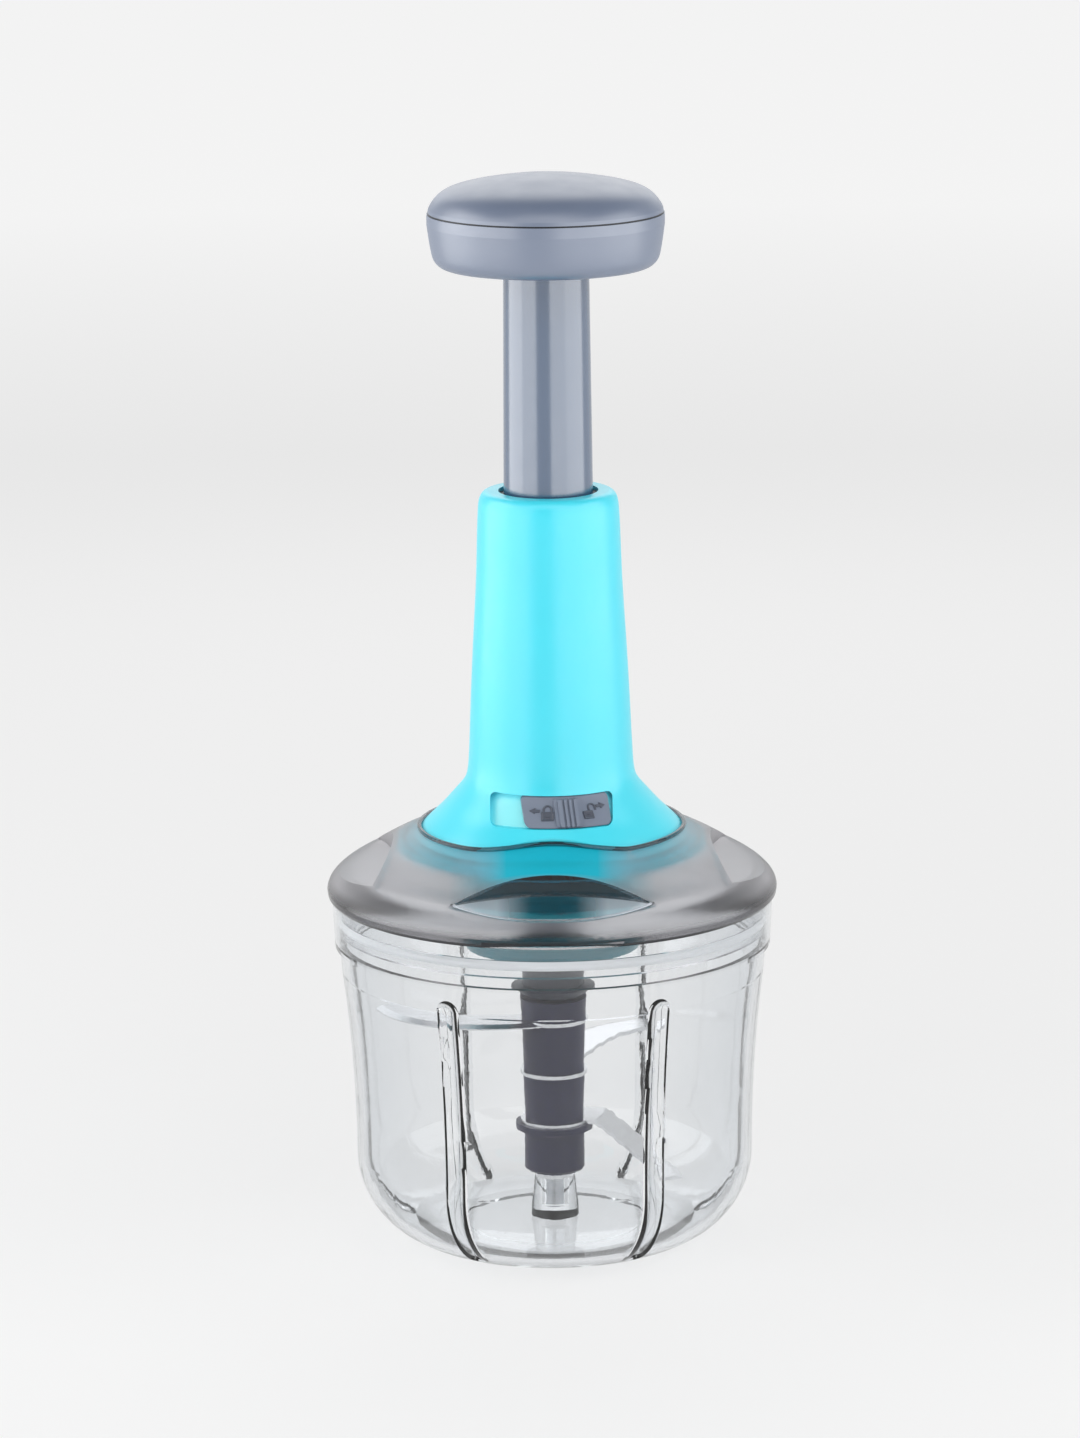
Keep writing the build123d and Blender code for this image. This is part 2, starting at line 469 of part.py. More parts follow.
def body_shell():
    solid, hollow = body_solid(), body_hollow()
    backing = flare_layer(0, POCKET_DEPTH + POCKET_BACK) & window(
        POCKET_HALF + 2, SLIDER_LOW - 2, SLIDER_HIGH + 2, SLIDER_CORNER)
    bosses = pegs(SCREW_BOSS_R, SCREW_RING_R, SCREW_AZIMUTHS, WEB_TOP, WEB_TOP + 14)
    inner = Part() + backing + bosses + key_ribs()
    pocket = flare_layer(-5, POCKET_DEPTH) & window(
        POCKET_HALF, SLIDER_LOW - LOOSE_GAP, SLIDER_HIGH + LOOSE_GAP, SLIDER_CORNER + LOOSE_GAP)
    stem_slot = sector(block(LOCK_RING_R - 1, FLARE_R, LOCK_RING_LOW, LOCK_RING_TOP),
                       0, LOCK_REST + STEM_HALF + 1)
    holes = pegs(SCREW_R + KEY_GAP, SCREW_RING_R, SCREW_AZIMUTHS, WEB_TOP, WEB_TOP + SCREW_REACH + 0.5)
    mouth = ring(MOUTH_R, 0, BODY_TOP - TOP_WALL, BODY_TOP)
    return solid - hollow + (inner & solid) - pocket - stem_slot - holes - mouth


def plunger_sleeve():
    ceiling = BODY_TOP - TOP_WALL
    nose_r = MOUTH_R - KEY_GAP
    return (ring(SLEEVE_R, 0, SLEEVE_LOW, ceiling)
            + ring(SLEEVE_FLANGE_R, 0, SLEEVE_FLANGE_LOW, ceiling)
            + ring(nose_r, 0, ceiling, BODY_TOP - 1.2)
            - ring(PLUNGER_R + SLIDE_GAP, 0, SLEEVE_LOW, BODY_TOP))


# ---------------------------------------------------------------- gear housing
def gear_housing():
    bore = HOUSING_R - HOUSING_WALL
    floor_top = HOUSING_BOTTOM + HOUSING_FLOOR
    cup = lathe((0, HOUSING_BOTTOM), (HOUSING_R - 2.5, HOUSING_BOTTOM),
                (HOUSING_R - 0.7, HOUSING_BOTTOM + 0.7), (HOUSING_R, HOUSING_BOTTOM + 2.5),
                (HOUSING_R, WEB_LOW - HOUSING_FLANGE), (HOUSING_FLANGE_R, WEB_LOW - HOUSING_FLANGE),
                (HOUSING_FLANGE_R, WEB_LOW), (SPIGOT_R, WEB_LOW), (SPIGOT_R, HOUSING_TOP), (0, HOUSING_TOP))
    bosses = Part() + pegs(COVER_BOSS_R, COVER_SCREW_RING_R, COVER_AZIMUTHS, floor_top, SEAT_PLATE_Z)
    holes = pegs(COVER_SCREW_R + KEY_GAP, COVER_SCREW_RING_R, COVER_AZIMUTHS,
                 SPRING_SEAT - COVER_SCREW_REACH - 0.5, SEAT_PLATE_Z)
    screw_ways = pegs(SCREW_R + 0.2, SCREW_RING_R, SCREW_AZIMUTHS, WEB_LOW - HOUSING_FLANGE, WEB_LOW)
    return (cup - ring(bore, 0, floor_top, HOUSING_TOP) + bosses - holes - screw_ways
            - ring(COUPLER_R + RUN_GAP + BUSH_WALL + KEY_GAP, 0, HOUSING_BOTTOM, floor_top))


def housing_screws():
    """Four screws, heads down, that clamp the lid between the gear housing and the body."""
    seat, tip = WEB_LOW - HOUSING_FLANGE, WEB_TOP + SCREW_REACH
    upright = screw(SCREW_R, SCREW_HEAD_R, SCREW_HEAD, 0, seat - tip)
    flipped = Pos(SCREW_RING_R, 0, seat) * Rot(180, 0, 0) * upright
    return Part() + [at_azimuth(a, flipped) for a in SCREW_AZIMUTHS]


def coupler_bush():
    bore, outer = COUPLER_R + RUN_GAP, COUPLER_R + RUN_GAP + BUSH_WALL
    floor_top = HOUSING_BOTTOM + HOUSING_FLOOR
    return (ring(outer, bore, HOUSING_BOTTOM, floor_top)
            + ring(BUSH_FLANGE_R, bore, floor_top, floor_top + BUSH_FLANGE))


def spring_tower():
    """Plate over the clutch that the spring stands on, with the tube that carries the lock ring."""
    plate = ring(SEAT_PLATE_R, SHANK_R + RUN_GAP, SEAT_PLATE_Z, SPRING_SEAT)
    tube = ring(TOWER_R, TOWER_BORE, SPRING_SEAT, TOWER_TOP)
    head_ways = pegs(COVER_HEAD_R + 0.3, COVER_SCREW_RING_R, COVER_AZIMUTHS, SPRING_SEAT, SPRING_SEAT + 4)
    holes = pegs(COVER_SCREW_R + KEY_GAP, COVER_SCREW_RING_R, COVER_AZIMUTHS, SEAT_PLATE_Z, SPRING_SEAT)
    return plate + tube - head_ways - holes


def tower_screws():
    one = Pos(COVER_SCREW_RING_R, 0, 0) * screw(COVER_SCREW_R, COVER_HEAD_R, COVER_HEAD, SPRING_SEAT,
                                                SPRING_SEAT - COVER_SCREW_REACH)
    return Part() + [at_azimuth(a, one) for a in COVER_AZIMUTHS]


# ---------------------------------------------------------------- coupler and clutch
def drive_coupler():
    rim_z = COUPLER_BOTTOM + 2.7
    body = lathe((0, COUPLER_BOTTOM), (COUPLER_TIP_R, COUPLER_BOTTOM), (COUPLER_RIM_R, rim_z),
                 (COUPLER_RIM_R, rim_z + 1), (COUPLER_R, rim_z + 1.6), (COUPLER_R, CLUTCH_Z),
                 (CLUTCH_R, CLUTCH_Z), (CLUTCH_R, RATCHET_Z), (0, RATCHET_Z))
    socket_top = NOSE_TOP + 1.5
    return (body + pegs(PEG_R, PEG_RING_R, PEG_AZIMUTHS, RATCHET_Z, RATCHET_Z + PEG_HEIGHT)
            - prism(NOSE_FLATS + 0.4, 6, COUPLER_BOTTOM, socket_top)
            - ring(SHANK_R + RUN_GAP, 0, socket_top + 1.2, RATCHET_Z))


def ratchet_ring():
    pitch = 360 / RATCHET_TEETH
    outline = []
    for tooth in range(RATCHET_TEETH):
        for r, angle in ((RATCHET_TIP_R, tooth * pitch), (RATCHET_ROOT_R, (tooth + 1) * pitch)):
            outline.append((r * cos(radians(angle)), r * sin(radians(angle))))
    teeth = make_face(Polyline(*outline, close=True))
    body = Pos(0, 0, RATCHET_Z) * extrude(Circle(CLUTCH_R) - teeth, RATCHET_HEIGHT)
    return body - pegs(PEG_R + KEY_GAP, PEG_RING_R, PEG_AZIMUTHS, RATCHET_Z, RATCHET_Z + PEG_HEIGHT + 0.2)


def pawl_outline():
    face = -0.25
    tip = RATCHET_ROOT_R - 0.45
    heel = CARRIER_R - 3.0
    return Polyline((tip, face), (tip - 0.8, face - 1.65), (heel + 0.9, -4.2), (heel, -3.0),
                    (heel + 0.6, -1.2), (heel + 3.4, face), close=True)


def pawls():
    one = Pos(0, 0, CARRIER_Z + PAWL_FLOOR) * extrude(make_face(pawl_outline()), PAWL_HEIGHT)
    return Part() + [Rot(0, 0, a) * one for a in (0, 120, 240)]


def pawl_carrier():
    top = CARRIER_Z + RATCHET_HEIGHT
    boss_top = SEAT_PLATE_Z - LOOSE_GAP
    room = offset(make_face(pawl_outline()), PAWL_GAP, kind=Kind.INTERSECTION)
    pocket = Pos(0, 0, CARRIER_Z + PAWL_FLOOR - KEY_GAP) * extrude(room, PAWL_HEIGHT + 2 * KEY_GAP)
    pin_way = Pos(0, 0, CARRIER_PIN_Z) * Rot(90, 0, 0) * Cylinder(CARRIER_PIN_R + KEY_GAP, 20)
    return (ring(CARRIER_R, SHANK_R + KEY_GAP, CARRIER_Z, top)
            + ring(CARRIER_BOSS_R, SHANK_R + KEY_GAP, top, boss_top)
            - [Rot(0, 0, a) * pocket for a in (0, 120, 240)] - pin_way)


def carrier_pin():
    pin = Cylinder(CARRIER_PIN_R, 2 * CARRIER_BOSS_R - 0.4)
    return Pos(0, 0, CARRIER_PIN_Z) * Rot(90, 0, 0) * pin


def twist_rod():
    shank_low = NOSE_TOP + 3.0
    collar = ring(STRIP_WIDTH / 2, 0, SPRING_SEAT + LOOSE_GAP, STRIP_BOTTOM + 1)
    pin_way = Pos(0, 0, CARRIER_PIN_Z) * Rot(90, 0, 0) * Cylinder(CARRIER_PIN_R + KEY_GAP, 20)
    shank = ring(SHANK_R, 0, shank_low, SPRING_SEAT + LOOSE_GAP) - pin_way
    return Part() + twisted_bar(0, STRIP_BOTTOM, STRIP_TOP) + collar + shank


# ---------------------------------------------------------------- plunger
def plunger_tube():
    top_bore = TUBE_TOP_R - TUBE_WALL
    return lathe((PLUNGER_R - TUBE_WALL, FOOT_TOP), (PLUNGER_R, FOOT_TOP), (PLUNGER_R, BODY_TOP - TOP_WALL),
                 (TUBE_TOP_R, KNOB_BOTTOM), (TUBE_TOP_R, TUBE_TOP), (top_bore, TUBE_TOP),
                 (top_bore, KNOB_BOTTOM - 4), (PLUNGER_R - TUBE_WALL, BODY_TOP - TOP_WALL))


def plunger_foot():
    """Collar at the tube's lower end: nut seat, two keys and the notches that the lock lugs pass."""
    spigot_r = PLUNGER_R - TUBE_WALL - KEY_GAP
    body = ring(FOOT_FLANGE_R, 0, FOOT_Z, FOOT_TOP) + ring(spigot_r, 0, FOOT_TOP, FOOT_TOP + FOOT_SPIGOT)
    key = Pos(SLEEVE_R + LOOSE_GAP, 0, FOOT_Z) * Box(
        KEY_R - SLEEVE_R - LOOSE_GAP, KEY_WIDTH, KEY_HEIGHT, align=(Align.MIN, Align.CENTER, Align.MIN))
    body += [at_azimuth(a, key) for a in KEY_AZIMUTHS]
    notch = block(LUG_R - LOOSE_GAP, KEY_R, FOOT_Z, FOOT_TOP)
    for azimuth in (LOCK_REST, LOCK_REST + 180):
        body -= sector(notch, azimuth, LUG_HALF + 2)
    nut_seat = prism(NUT_FLATS + 2 * KEY_GAP, 6, FOOT_Z, NUT_SEAT)
    return body - nut_seat - ring(FOOT_BORE, 0, NUT_SEAT, BODY_TOP)


def drive_nut():
    low = NUT_SEAT - NUT_HEIGHT
    return prism(NUT_FLATS, 6, low, NUT_SEAT) - twisted_bar(TWIST_GAP, low - 1, NUT_SEAT + 1)


def return_spring():
    low, high = SPRING_SEAT + 0.1, FOOT_Z - 0.1
    height = high - low - 2 * SPRING_WIRE_R
    coil = Pos(0, 0, low + SPRING_WIRE_R) * Helix(height / SPRING_TURNS, height, SPRING_R)
    return sweep(Plane(coil @ 0, z_dir=coil % 0) * Circle(SPRING_WIRE_R), path=coil, is_frenet=True)


# ---------------------------------------------------------------- knob
def knob_base():
    under = [(KNOB_R + r, KNOB_BOTTOM + z) for r, z in KNOB_UNDER]
    inner_r = KNOB_R - KNOB_WALL
    floor_top = KNOB_BOTTOM + KNOB_WALL
    cup = turned(
        smooth(under),
        straight(under[-1], (KNOB_R, KNOB_SEAM), (0, KNOB_SEAM), (0, KNOB_BOTTOM),
                 (KNOB_R - 8, KNOB_BOTTOM), under[0]))
    room = lathe((0, floor_top), (inner_r - 3.0, floor_top), (inner_r - 1.5, KNOB_BOTTOM + 6),
                 (inner_r, KNOB_BOTTOM + 12), (inner_r, KNOB_SEAM), (0, KNOB_SEAM))
    return (cup - room + ring(KNOB_SOCKET_R, 0, KNOB_BOTTOM, KNOB_SOCKET_TOP)
            - ring(TUBE_TOP_R + KEY_GAP, 0, KNOB_BOTTOM, TUBE_TOP)
            - ring(KNOB_SCREW_R + KEY_GAP, 0, TUBE_TOP, KNOB_SOCKET_TOP))


def knob_cap():
    crown = [(KNOB_R * share, KNOB_SEAM + z) for share, z in KNOB_CROWN]
    under = [(r, z - KNOB_WALL) for r, z in crown[:4]] + [(KNOB_R * 0.9, KNOB_SEAM + 2.0)]
    spigot_r = KNOB_R - KNOB_WALL - KEY_GAP
    edge_r = KNOB_R - 0.35
    dome = turned(smooth(crown), straight(crown[-1], (edge_r, KNOB_SEAM + 0.5), (edge_r, KNOB_SEAM),
                                          (0, KNOB_SEAM), crown[0]))
    room = turned(smooth(under), straight(under[-1], (KNOB_R * 0.9, KNOB_SEAM), (0, KNOB_SEAM), under[0]))
    return dome - room + ring(spigot_r, KNOB_R * 0.87, KNOB_SEAM - 3.5, KNOB_SEAM + 1.5)


def tube_plug():
    return ring(TUBE_TOP_R - TUBE_WALL - KEY_GAP, 0, PLUG_BOTTOM, TUBE_TOP) - ring(
        KNOB_SCREW_R + KEY_GAP, 0, PLUG_BOTTOM + 2, TUBE_TOP)


# ---------------------------------------------------------------- lock
def lock_slider():
    plate = flare_layer(SLIDER_SINK, SLIDER_SINK + SLIDER_THICK) & window(
        SLIDER_HALF, SLIDER_LOW, SLIDER_HIGH, SLIDER_CORNER)
    stem = sector(block(LOCK_RING_R - STEM_SINK, FLARE_R, STEM_LOW, STEM_TOP), 0, STEM_HALF)
    body = plate + (stem & flare_layer(SLIDER_SINK + 0.3, FLARE_R - LOCK_RING_R))
    for half, out in ((GRIP_FOOT_HALF, GRIP_OUT / 2), (GRIP_HALF, GRIP_OUT)):
        body += flare_layer(SLIDER_SINK - out, SLIDER_SINK + 0.5) & window(
            half, SLIDER_LOW + 0.6, SLIDER_HIGH - 0.6, 0.6)
    cut = flare_layer(SLIDER_SINK - GRIP_OUT - 1, SLIDER_SINK - GRIP_OUT + 0.8)
    for x in GRIP_GROOVES:
        body -= Pos(x, 0, 0) * (cut & window(0.35, SLIDER_LOW, SLIDER_HIGH, 0.1))
    return Rot(0, 0, LOCK_REST) * body


def lock_ring():
    stem_seat = block(LOCK_RING_R - STEM_SINK, LOCK_RING_R + 1, STEM_LOW, STEM_TOP)
    lug = block(LUG_R, LOCK_RING_BORE + 0.5, LOCK_RING_LOW, LOCK_RING_TOP)
    body = ring(LOCK_RING_R, LOCK_RING_BORE, LOCK_RING_LOW, LOCK_RING_TOP)
    body += [sector(lug, a, LUG_HALF) for a in (LOCK_REST, LOCK_REST + 180)]
    return body - sector(stem_seat, LOCK_REST, STEM_HALF + 0.1)


def lock_spring():
    """Leaf behind the lock ring, with a foot that stands on the body's inner wall."""
    inner = LOCK_RING_R + 0.2
    leaf = sector(block(inner, inner + LEAF_THICK, STEM_LOW, STEM_TOP), 180, LEAF_HALF)
    return leaf + sector(block(inner, inner + LEAF_LEG, STEM_LOW, STEM_TOP), 180 - LEAF_HALF, 1.0)


# ---------------------------------------------------------------- write the sub-parts
PARTS = {
    "bowl": bowl(),
    "bowl_pin": bowl_pin(),
    "hub_base": hub_base(),
    "blade_lower": blade(LOW_BLADE_Z, -14, LOW_BLADE_REACH, 14, 32, -13, 32),
    "hub_spacer_lower": hub_spacer(LOW_BLADE_Z + BLADE_THICK, MID_BLADE_Z, HUB_WAIST_R,
                                   HUB_WAIST_R + 0.7),
    "blade_middle": blade(MID_BLADE_Z, 62, BLADE_REACH, 13, BLADE_REACH, 4, 0),
    "hub_spacer_upper": hub_spacer(MID_BLADE_Z + BLADE_THICK, TOP_BLADE_Z, HUB_WAIST_R + 0.4,
                                   HUB_WAIST_R + 0.9),
    "blade_upper": blade(TOP_BLADE_Z, 179, BLADE_REACH, 13, BLADE_REACH, 0, 0),
    "hub_cap": hub_cap(),
    "hub_screw": screw(HUB_SCREW_R, HUB_SCREW_HEAD_R, HUB_SCREW_HEAD, HUB_SCREW_SEAT,
                       HUB_SCREW_LOW + 1),
    "lid": lid(),
    "lid_seal": lid_seal(),
    "body_shell": body_shell(),
    "plunger_sleeve": plunger_sleeve(),
    "gear_housing": gear_housing(),
    "housing_screws": housing_screws(),
    "coupler_bush": coupler_bush(),
    "spring_tower": spring_tower(),
    "tower_screws": tower_screws(),
    "drive_coupler": drive_coupler(),
    "ratchet_ring": ratchet_ring(),
    "thrust_washer": ring(WASHER_R, SHANK_R + KEY_GAP, RATCHET_Z, CARRIER_Z),
    "pawl_carrier": pawl_carrier(),
    "pawls": pawls(),
    "carrier_pin": carrier_pin(),
    "twist_rod": twist_rod(),
    "return_spring": return_spring(),
    "drive_nut": drive_nut(),
    "plunger_foot": plunger_foot(),
    "plunger_tube": plunger_tube(),
    "tube_plug": tube_plug(),
    "knob_base": knob_base(),
    "knob_screw": screw(KNOB_SCREW_R, KNOB_SCREW_HEAD_R, KNOB_SCREW_HEAD, KNOB_SOCKET_TOP,
                        PLUG_BOTTOM + 3),
    "knob_cap": knob_cap(),
    "lock_slider": lock_slider(),
    "lock_ring": lock_ring(),
    "lock_spring": lock_spring(),
}

os.makedirs("parts", exist_ok=True)
for name, shape in PARTS.items():
    solids = shape.solids()
    body = solids[0] if len(solids) == 1 else Compound(children=solids)
    body.label = name
    export_step(body, f"parts/{name}.step")
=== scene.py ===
import json
import math

import bmesh
import bpy
from mathutils import Matrix, Vector


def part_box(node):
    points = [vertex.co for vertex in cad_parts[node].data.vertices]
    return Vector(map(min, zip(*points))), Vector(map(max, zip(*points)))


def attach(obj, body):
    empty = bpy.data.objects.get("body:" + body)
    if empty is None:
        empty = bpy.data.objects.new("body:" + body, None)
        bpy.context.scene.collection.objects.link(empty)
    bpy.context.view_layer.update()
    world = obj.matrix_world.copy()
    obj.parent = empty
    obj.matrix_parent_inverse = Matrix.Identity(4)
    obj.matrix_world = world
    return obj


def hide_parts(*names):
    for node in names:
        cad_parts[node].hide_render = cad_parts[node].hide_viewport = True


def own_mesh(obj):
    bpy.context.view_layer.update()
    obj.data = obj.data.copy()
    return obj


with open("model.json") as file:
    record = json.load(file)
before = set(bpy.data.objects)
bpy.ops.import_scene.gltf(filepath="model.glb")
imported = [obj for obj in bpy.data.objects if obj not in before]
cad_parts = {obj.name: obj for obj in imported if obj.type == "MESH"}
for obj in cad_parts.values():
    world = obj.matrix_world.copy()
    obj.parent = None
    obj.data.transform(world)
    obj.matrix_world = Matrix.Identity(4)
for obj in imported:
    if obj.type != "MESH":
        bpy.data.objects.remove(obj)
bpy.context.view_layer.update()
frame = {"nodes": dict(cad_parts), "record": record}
nodes = frame["nodes"]
MM = 0.001


# ---------------------------------------------------------------- node helpers
MIX_FIRST, MIX_SECOND, MIX_RESULT = 6, 7, 2     # the colour sockets of a Mix node


def new_material(name):
    """A material with its tree and its Principled shader."""
    material = bpy.data.materials.new(name)
    material.use_nodes = True
    return material, material.node_tree, material.node_tree.nodes["Principled BSDF"]


def add(tree, kind, inputs=(), **settings):
    """A shader node with some of its settings and unlinked inputs filled in."""
    node = tree.nodes.new("ShaderNode" + kind)
    for key, value in settings.items():
        setattr(node, key, value)
    for key, value in dict(inputs).items():
        node.inputs[key].default_value = value
    return node


def link(tree, source, target):
    tree.links.new(source, target)


def object_place(tree):
    return add(tree, "TexCoord").outputs["Object"]


def axes_of(tree, place):
    """The X, Y and Z outputs of a place."""
    split = add(tree, "SeparateXYZ")
    link(tree, place, split.inputs["Vector"])
    return split.outputs


def noise(tree, place, scale, detail=2.0):
    node = add(tree, "TexNoise", {"Scale": scale, "Detail": detail})
    link(tree, place, node.inputs["Vector"])
    return node.outputs["Fac"]


def spread(tree, value, low, high, start=0.3, end=0.7):
    """A value spread from start..end, where most of a noise lies, to low..high."""
    limits = {"From Min": start, "From Max": end, "To Min": low, "To Max": high}
    node = add(tree, "MapRange", limits)
    link(tree, value, node.inputs["Value"])
    return node.outputs["Result"]


def math_node(tree, operation, first, second=0.0):
    node = add(tree, "Math", operation=operation)
    for socket, value in zip(node.inputs, (first, second)):
        if isinstance(value, (int, float)):
            socket.default_value = value
        else:
            link(tree, value, socket)
    return node.outputs["Value"]


def mix_colours(tree, factor, first, second):
    node = add(tree, "Mix", data_type="RGBA")
    link(tree, factor, node.inputs["Factor"])
    for number, value in ((MIX_FIRST, first), (MIX_SECOND, second)):
        if isinstance(value, tuple):
            node.inputs[number].default_value = (*value, 1.0)
        else:
            link(tree, value, node.inputs[number])
    return node.outputs[MIX_RESULT]


def bump(tree, shader, height, strength, distance):
    node = add(tree, "Bump", {"Strength": strength, "Distance": distance})
    link(tree, height, node.inputs["Height"])
    link(tree, node.outputs["Normal"], shader.inputs["Normal"])


def shaded(colour, factor):
    return tuple(min(1.0, part * factor) for part in colour)


# ---------------------------------------------------------------- finishes
CLOUD_SCALE, FLOW_SCALE = 45.0, 160.0           # cloudiness and gloss of opaque plastic
NOISE_START, NOISE_END = 0.1, 0.9               # nearly all of a noise
CLOUD_DARK, CLOUD_LIGHT = 0.96, 1.03
GLOSSIER, DULLER = 0.05, 0.06
GRAIN_DEPTH = 0.0002
GRINDING = {"X": (60.0, 2600.0, 2600.0), "Z": (1500.0, 1500.0, 40.0),
            "ROUND": (500.0, 500.0, 3200.0)}
LINE_DARK, LINE_DULLER, LINE_STRENGTH, LINE_DEPTH = 0.86, 0.03, 0.25, 0.00005
CLEAR_IOR, CLEAR_CLOUD_SCALE, CLEAR_FLOW_SCALE = 1.47, 30.0, 220.0
CLEAR_CLOUD, CLEAR_DULLER = 0.975, 0.02
FACING_BLEND = 0.35


def moulded_plastic(name, colour, roughness, grain=0.04, grain_scale=1800.0, ior=1.5):
    """Opaque moulded plastic: faint cloudiness, flow marks in the gloss and a fine grain."""
    material, tree, shader = new_material(name)
    place = object_place(tree)
    cloud = spread(tree, noise(tree, place, CLOUD_SCALE), 0.0, 1.0, NOISE_START, NOISE_END)
    tone = mix_colours(tree, cloud, shaded(colour, CLOUD_DARK), shaded(colour, CLOUD_LIGHT))
    link(tree, tone, shader.inputs["Base Color"])
    flow = noise(tree, place, FLOW_SCALE)
    gloss = spread(tree, flow, roughness - GLOSSIER, roughness + DULLER, NOISE_START, NOISE_END)
    link(tree, gloss, shader.inputs["Roughness"])
    bump(tree, shader, noise(tree, place, grain_scale), grain, GRAIN_DEPTH)
    shader.inputs["IOR"].default_value = ior
    return material


def ground_steel(name, colour, roughness, along="X"):
    """Metal with fine grinding lines along one axis, or round the upright one."""
    material, tree, shader = new_material(name)
    mapping = add(tree, "Mapping", {"Scale": GRINDING[along]})
    link(tree, object_place(tree), mapping.inputs["Vector"])
    grinding = noise(tree, mapping.outputs["Vector"], 1.0, 3.0)
    shader.inputs["Metallic"].default_value = 1.0
    tone = mix_colours(tree, spread(tree, grinding, 0.0, 1.0), shaded(colour, LINE_DARK), colour)
    link(tree, tone, shader.inputs["Base Color"])
    gloss = spread(tree, grinding, roughness - GLOSSIER, roughness + LINE_DULLER)
    link(tree, gloss, shader.inputs["Roughness"])
    bump(tree, shader, grinding, LINE_STRENGTH, LINE_DEPTH)
    return material


def clear_shader(name, roughness, grain=0.02, grain_scale=900.0):
    """Shader of a clear plastic, how far its wall is seen edge on, and its cloudiness."""
    material, tree, shader = new_material(name)
    place = object_place(tree)
    shader.inputs["Transmission Weight"].default_value = 1.0
    shader.inputs["IOR"].default_value = CLEAR_IOR
    flow = noise(tree, place, CLEAR_FLOW_SCALE, 3.0)
    gloss = spread(tree, flow, roughness, roughness + CLEAR_DULLER)
    link(tree, gloss, shader.inputs["Roughness"])
    bump(tree, shader, noise(tree, place, grain_scale), grain, GRAIN_DEPTH)
    facing = add(tree, "LayerWeight", {"Blend": FACING_BLEND}).outputs["Facing"]
    cloud = spread(tree, noise(tree, place, CLEAR_CLOUD_SCALE), 0.0, 1.0)
    return material, tree, shader, facing, cloud


def let_lamps_through(tree, shader, colour):
    """Shadow rays pass each of a wall's two faces, tinted, instead of stopping at it."""
    tint = tuple(part ** 0.5 for part in colour)
    clear = add(tree, "BsdfTransparent", {"Color": (*tint, 1.0)})
    choice = add(tree, "MixShader")
    link(tree, add(tree, "LightPath").outputs["Is Shadow Ray"], choice.inputs["Fac"])
    link(tree, shader.outputs["BSDF"], choice.inputs[1])
    link(tree, clear.outputs["BSDF"], choice.inputs[2])
    link(tree, choice.outputs["Shader"], tree.nodes["Material Output"].inputs["Surface"])


def see_through(name, colour, edge_colour, roughness):
    """Clear moulded plastic, darker where its wall is seen edge on."""
    material, tree, shader, facing, cloud = clear_shader(name, roughness)
    face = mix_colours(tree, cloud, shaded(colour, CLEAR_CLOUD), colour)
    link(tree, mix_colours(tree, facing, face, edge_colour), shader.inputs["Base Color"])
    let_lamps_through(tree, shader, colour)
    return material


TINT_ACROSS = 14 * MM, 32 * MM                  # where the painted teal glow fades to the sides
TINT_OUT = 49 * MM, 57 * MM                     # and to the front and back
TINT_CLEARNESS = 0.25
DOME_GRAIN, DOME_GRAIN_SCALE, DOME_CLOUD, DOME_SPECULAR = 0.10, 1500.0, 0.95, 0.3
EDGE_ON, DOME_EDGE_SHADE, RIM_EDGE_SHADE = (0.45, 0.9), 0.65, 0.3
HAZE_FACING = 0.25, 0.6                         # where the haze grows towards the edge
RIM_ROUGHNESS = 0.18
SCOOP_FLOOR_ROUGHNESS, GLINT_CLEARNESS = 0.03, 0.45


def teal_glow_share(tree, axes):
    """Share of the painted teal glow: 1 at the top middle of the dome's front and back, falling to
    0 down it and to its sides.
    """
    across, out = (math_node(tree, "ABSOLUTE", axes[name]) for name in ("X", "Y"))
    return math_node(tree, "MULTIPLY", spread(tree, across, 1.0, 0.0, *TINT_ACROSS),
                     spread(tree, out, 1.0, 0.0, *TINT_OUT))


def frosted_dome(name, colour, rim_colour, painted_teal_colour, rim_low, rim_high, roughness, haze):
    """Finely frosted smoked plastic, hazy where it is seen edge on, with the teal of the cyan part
    in its well painted into its colour as a glow and made less clear there, and dark and glossy
    down at the rim."""
    material, tree, shader, facing, cloud = clear_shader(
        name, roughness, DOME_GRAIN, DOME_GRAIN_SCALE)
    axes = axes_of(tree, object_place(tree))
    above_rim = spread(tree, axes["Z"], 0.0, 1.0, rim_low, rim_high)
    teal_glow = teal_glow_share(tree, axes)
    edge_on = spread(tree, facing, 0.0, 1.0, *EDGE_ON)
    clouded = mix_colours(tree, cloud, shaded(colour, DOME_CLOUD), colour)
    face = mix_colours(tree, edge_on, clouded, shaded(colour, DOME_EDGE_SHADE))
    with_teal_glow = mix_colours(tree, teal_glow, face, painted_teal_colour)
    rim = mix_colours(tree, edge_on, rim_colour, shaded(rim_colour, RIM_EDGE_SHADE))
    link(tree, mix_colours(tree, above_rim, rim, with_teal_glow), shader.inputs["Base Color"])
    gloss = spread(tree, above_rim, RIM_ROUGHNESS, roughness, 0.0, 1.0)
    link(tree, gloss, shader.inputs["Roughness"])
    # Less clear near the well, so that the painted teal glow shows.
    clearness = math_node(tree, "MULTIPLY", spread(tree, facing, 1.0, 1.0 - haze, *HAZE_FACING),
                          spread(tree, teal_glow, 1.0, TINT_CLEARNESS, 0.0, 1.0))
    link(tree, clearness, shader.inputs["Transmission Weight"])
    shader.inputs["Specular IOR Level"].default_value = DOME_SPECULAR
    let_lamps_through(tree, shader, colour)
    return material


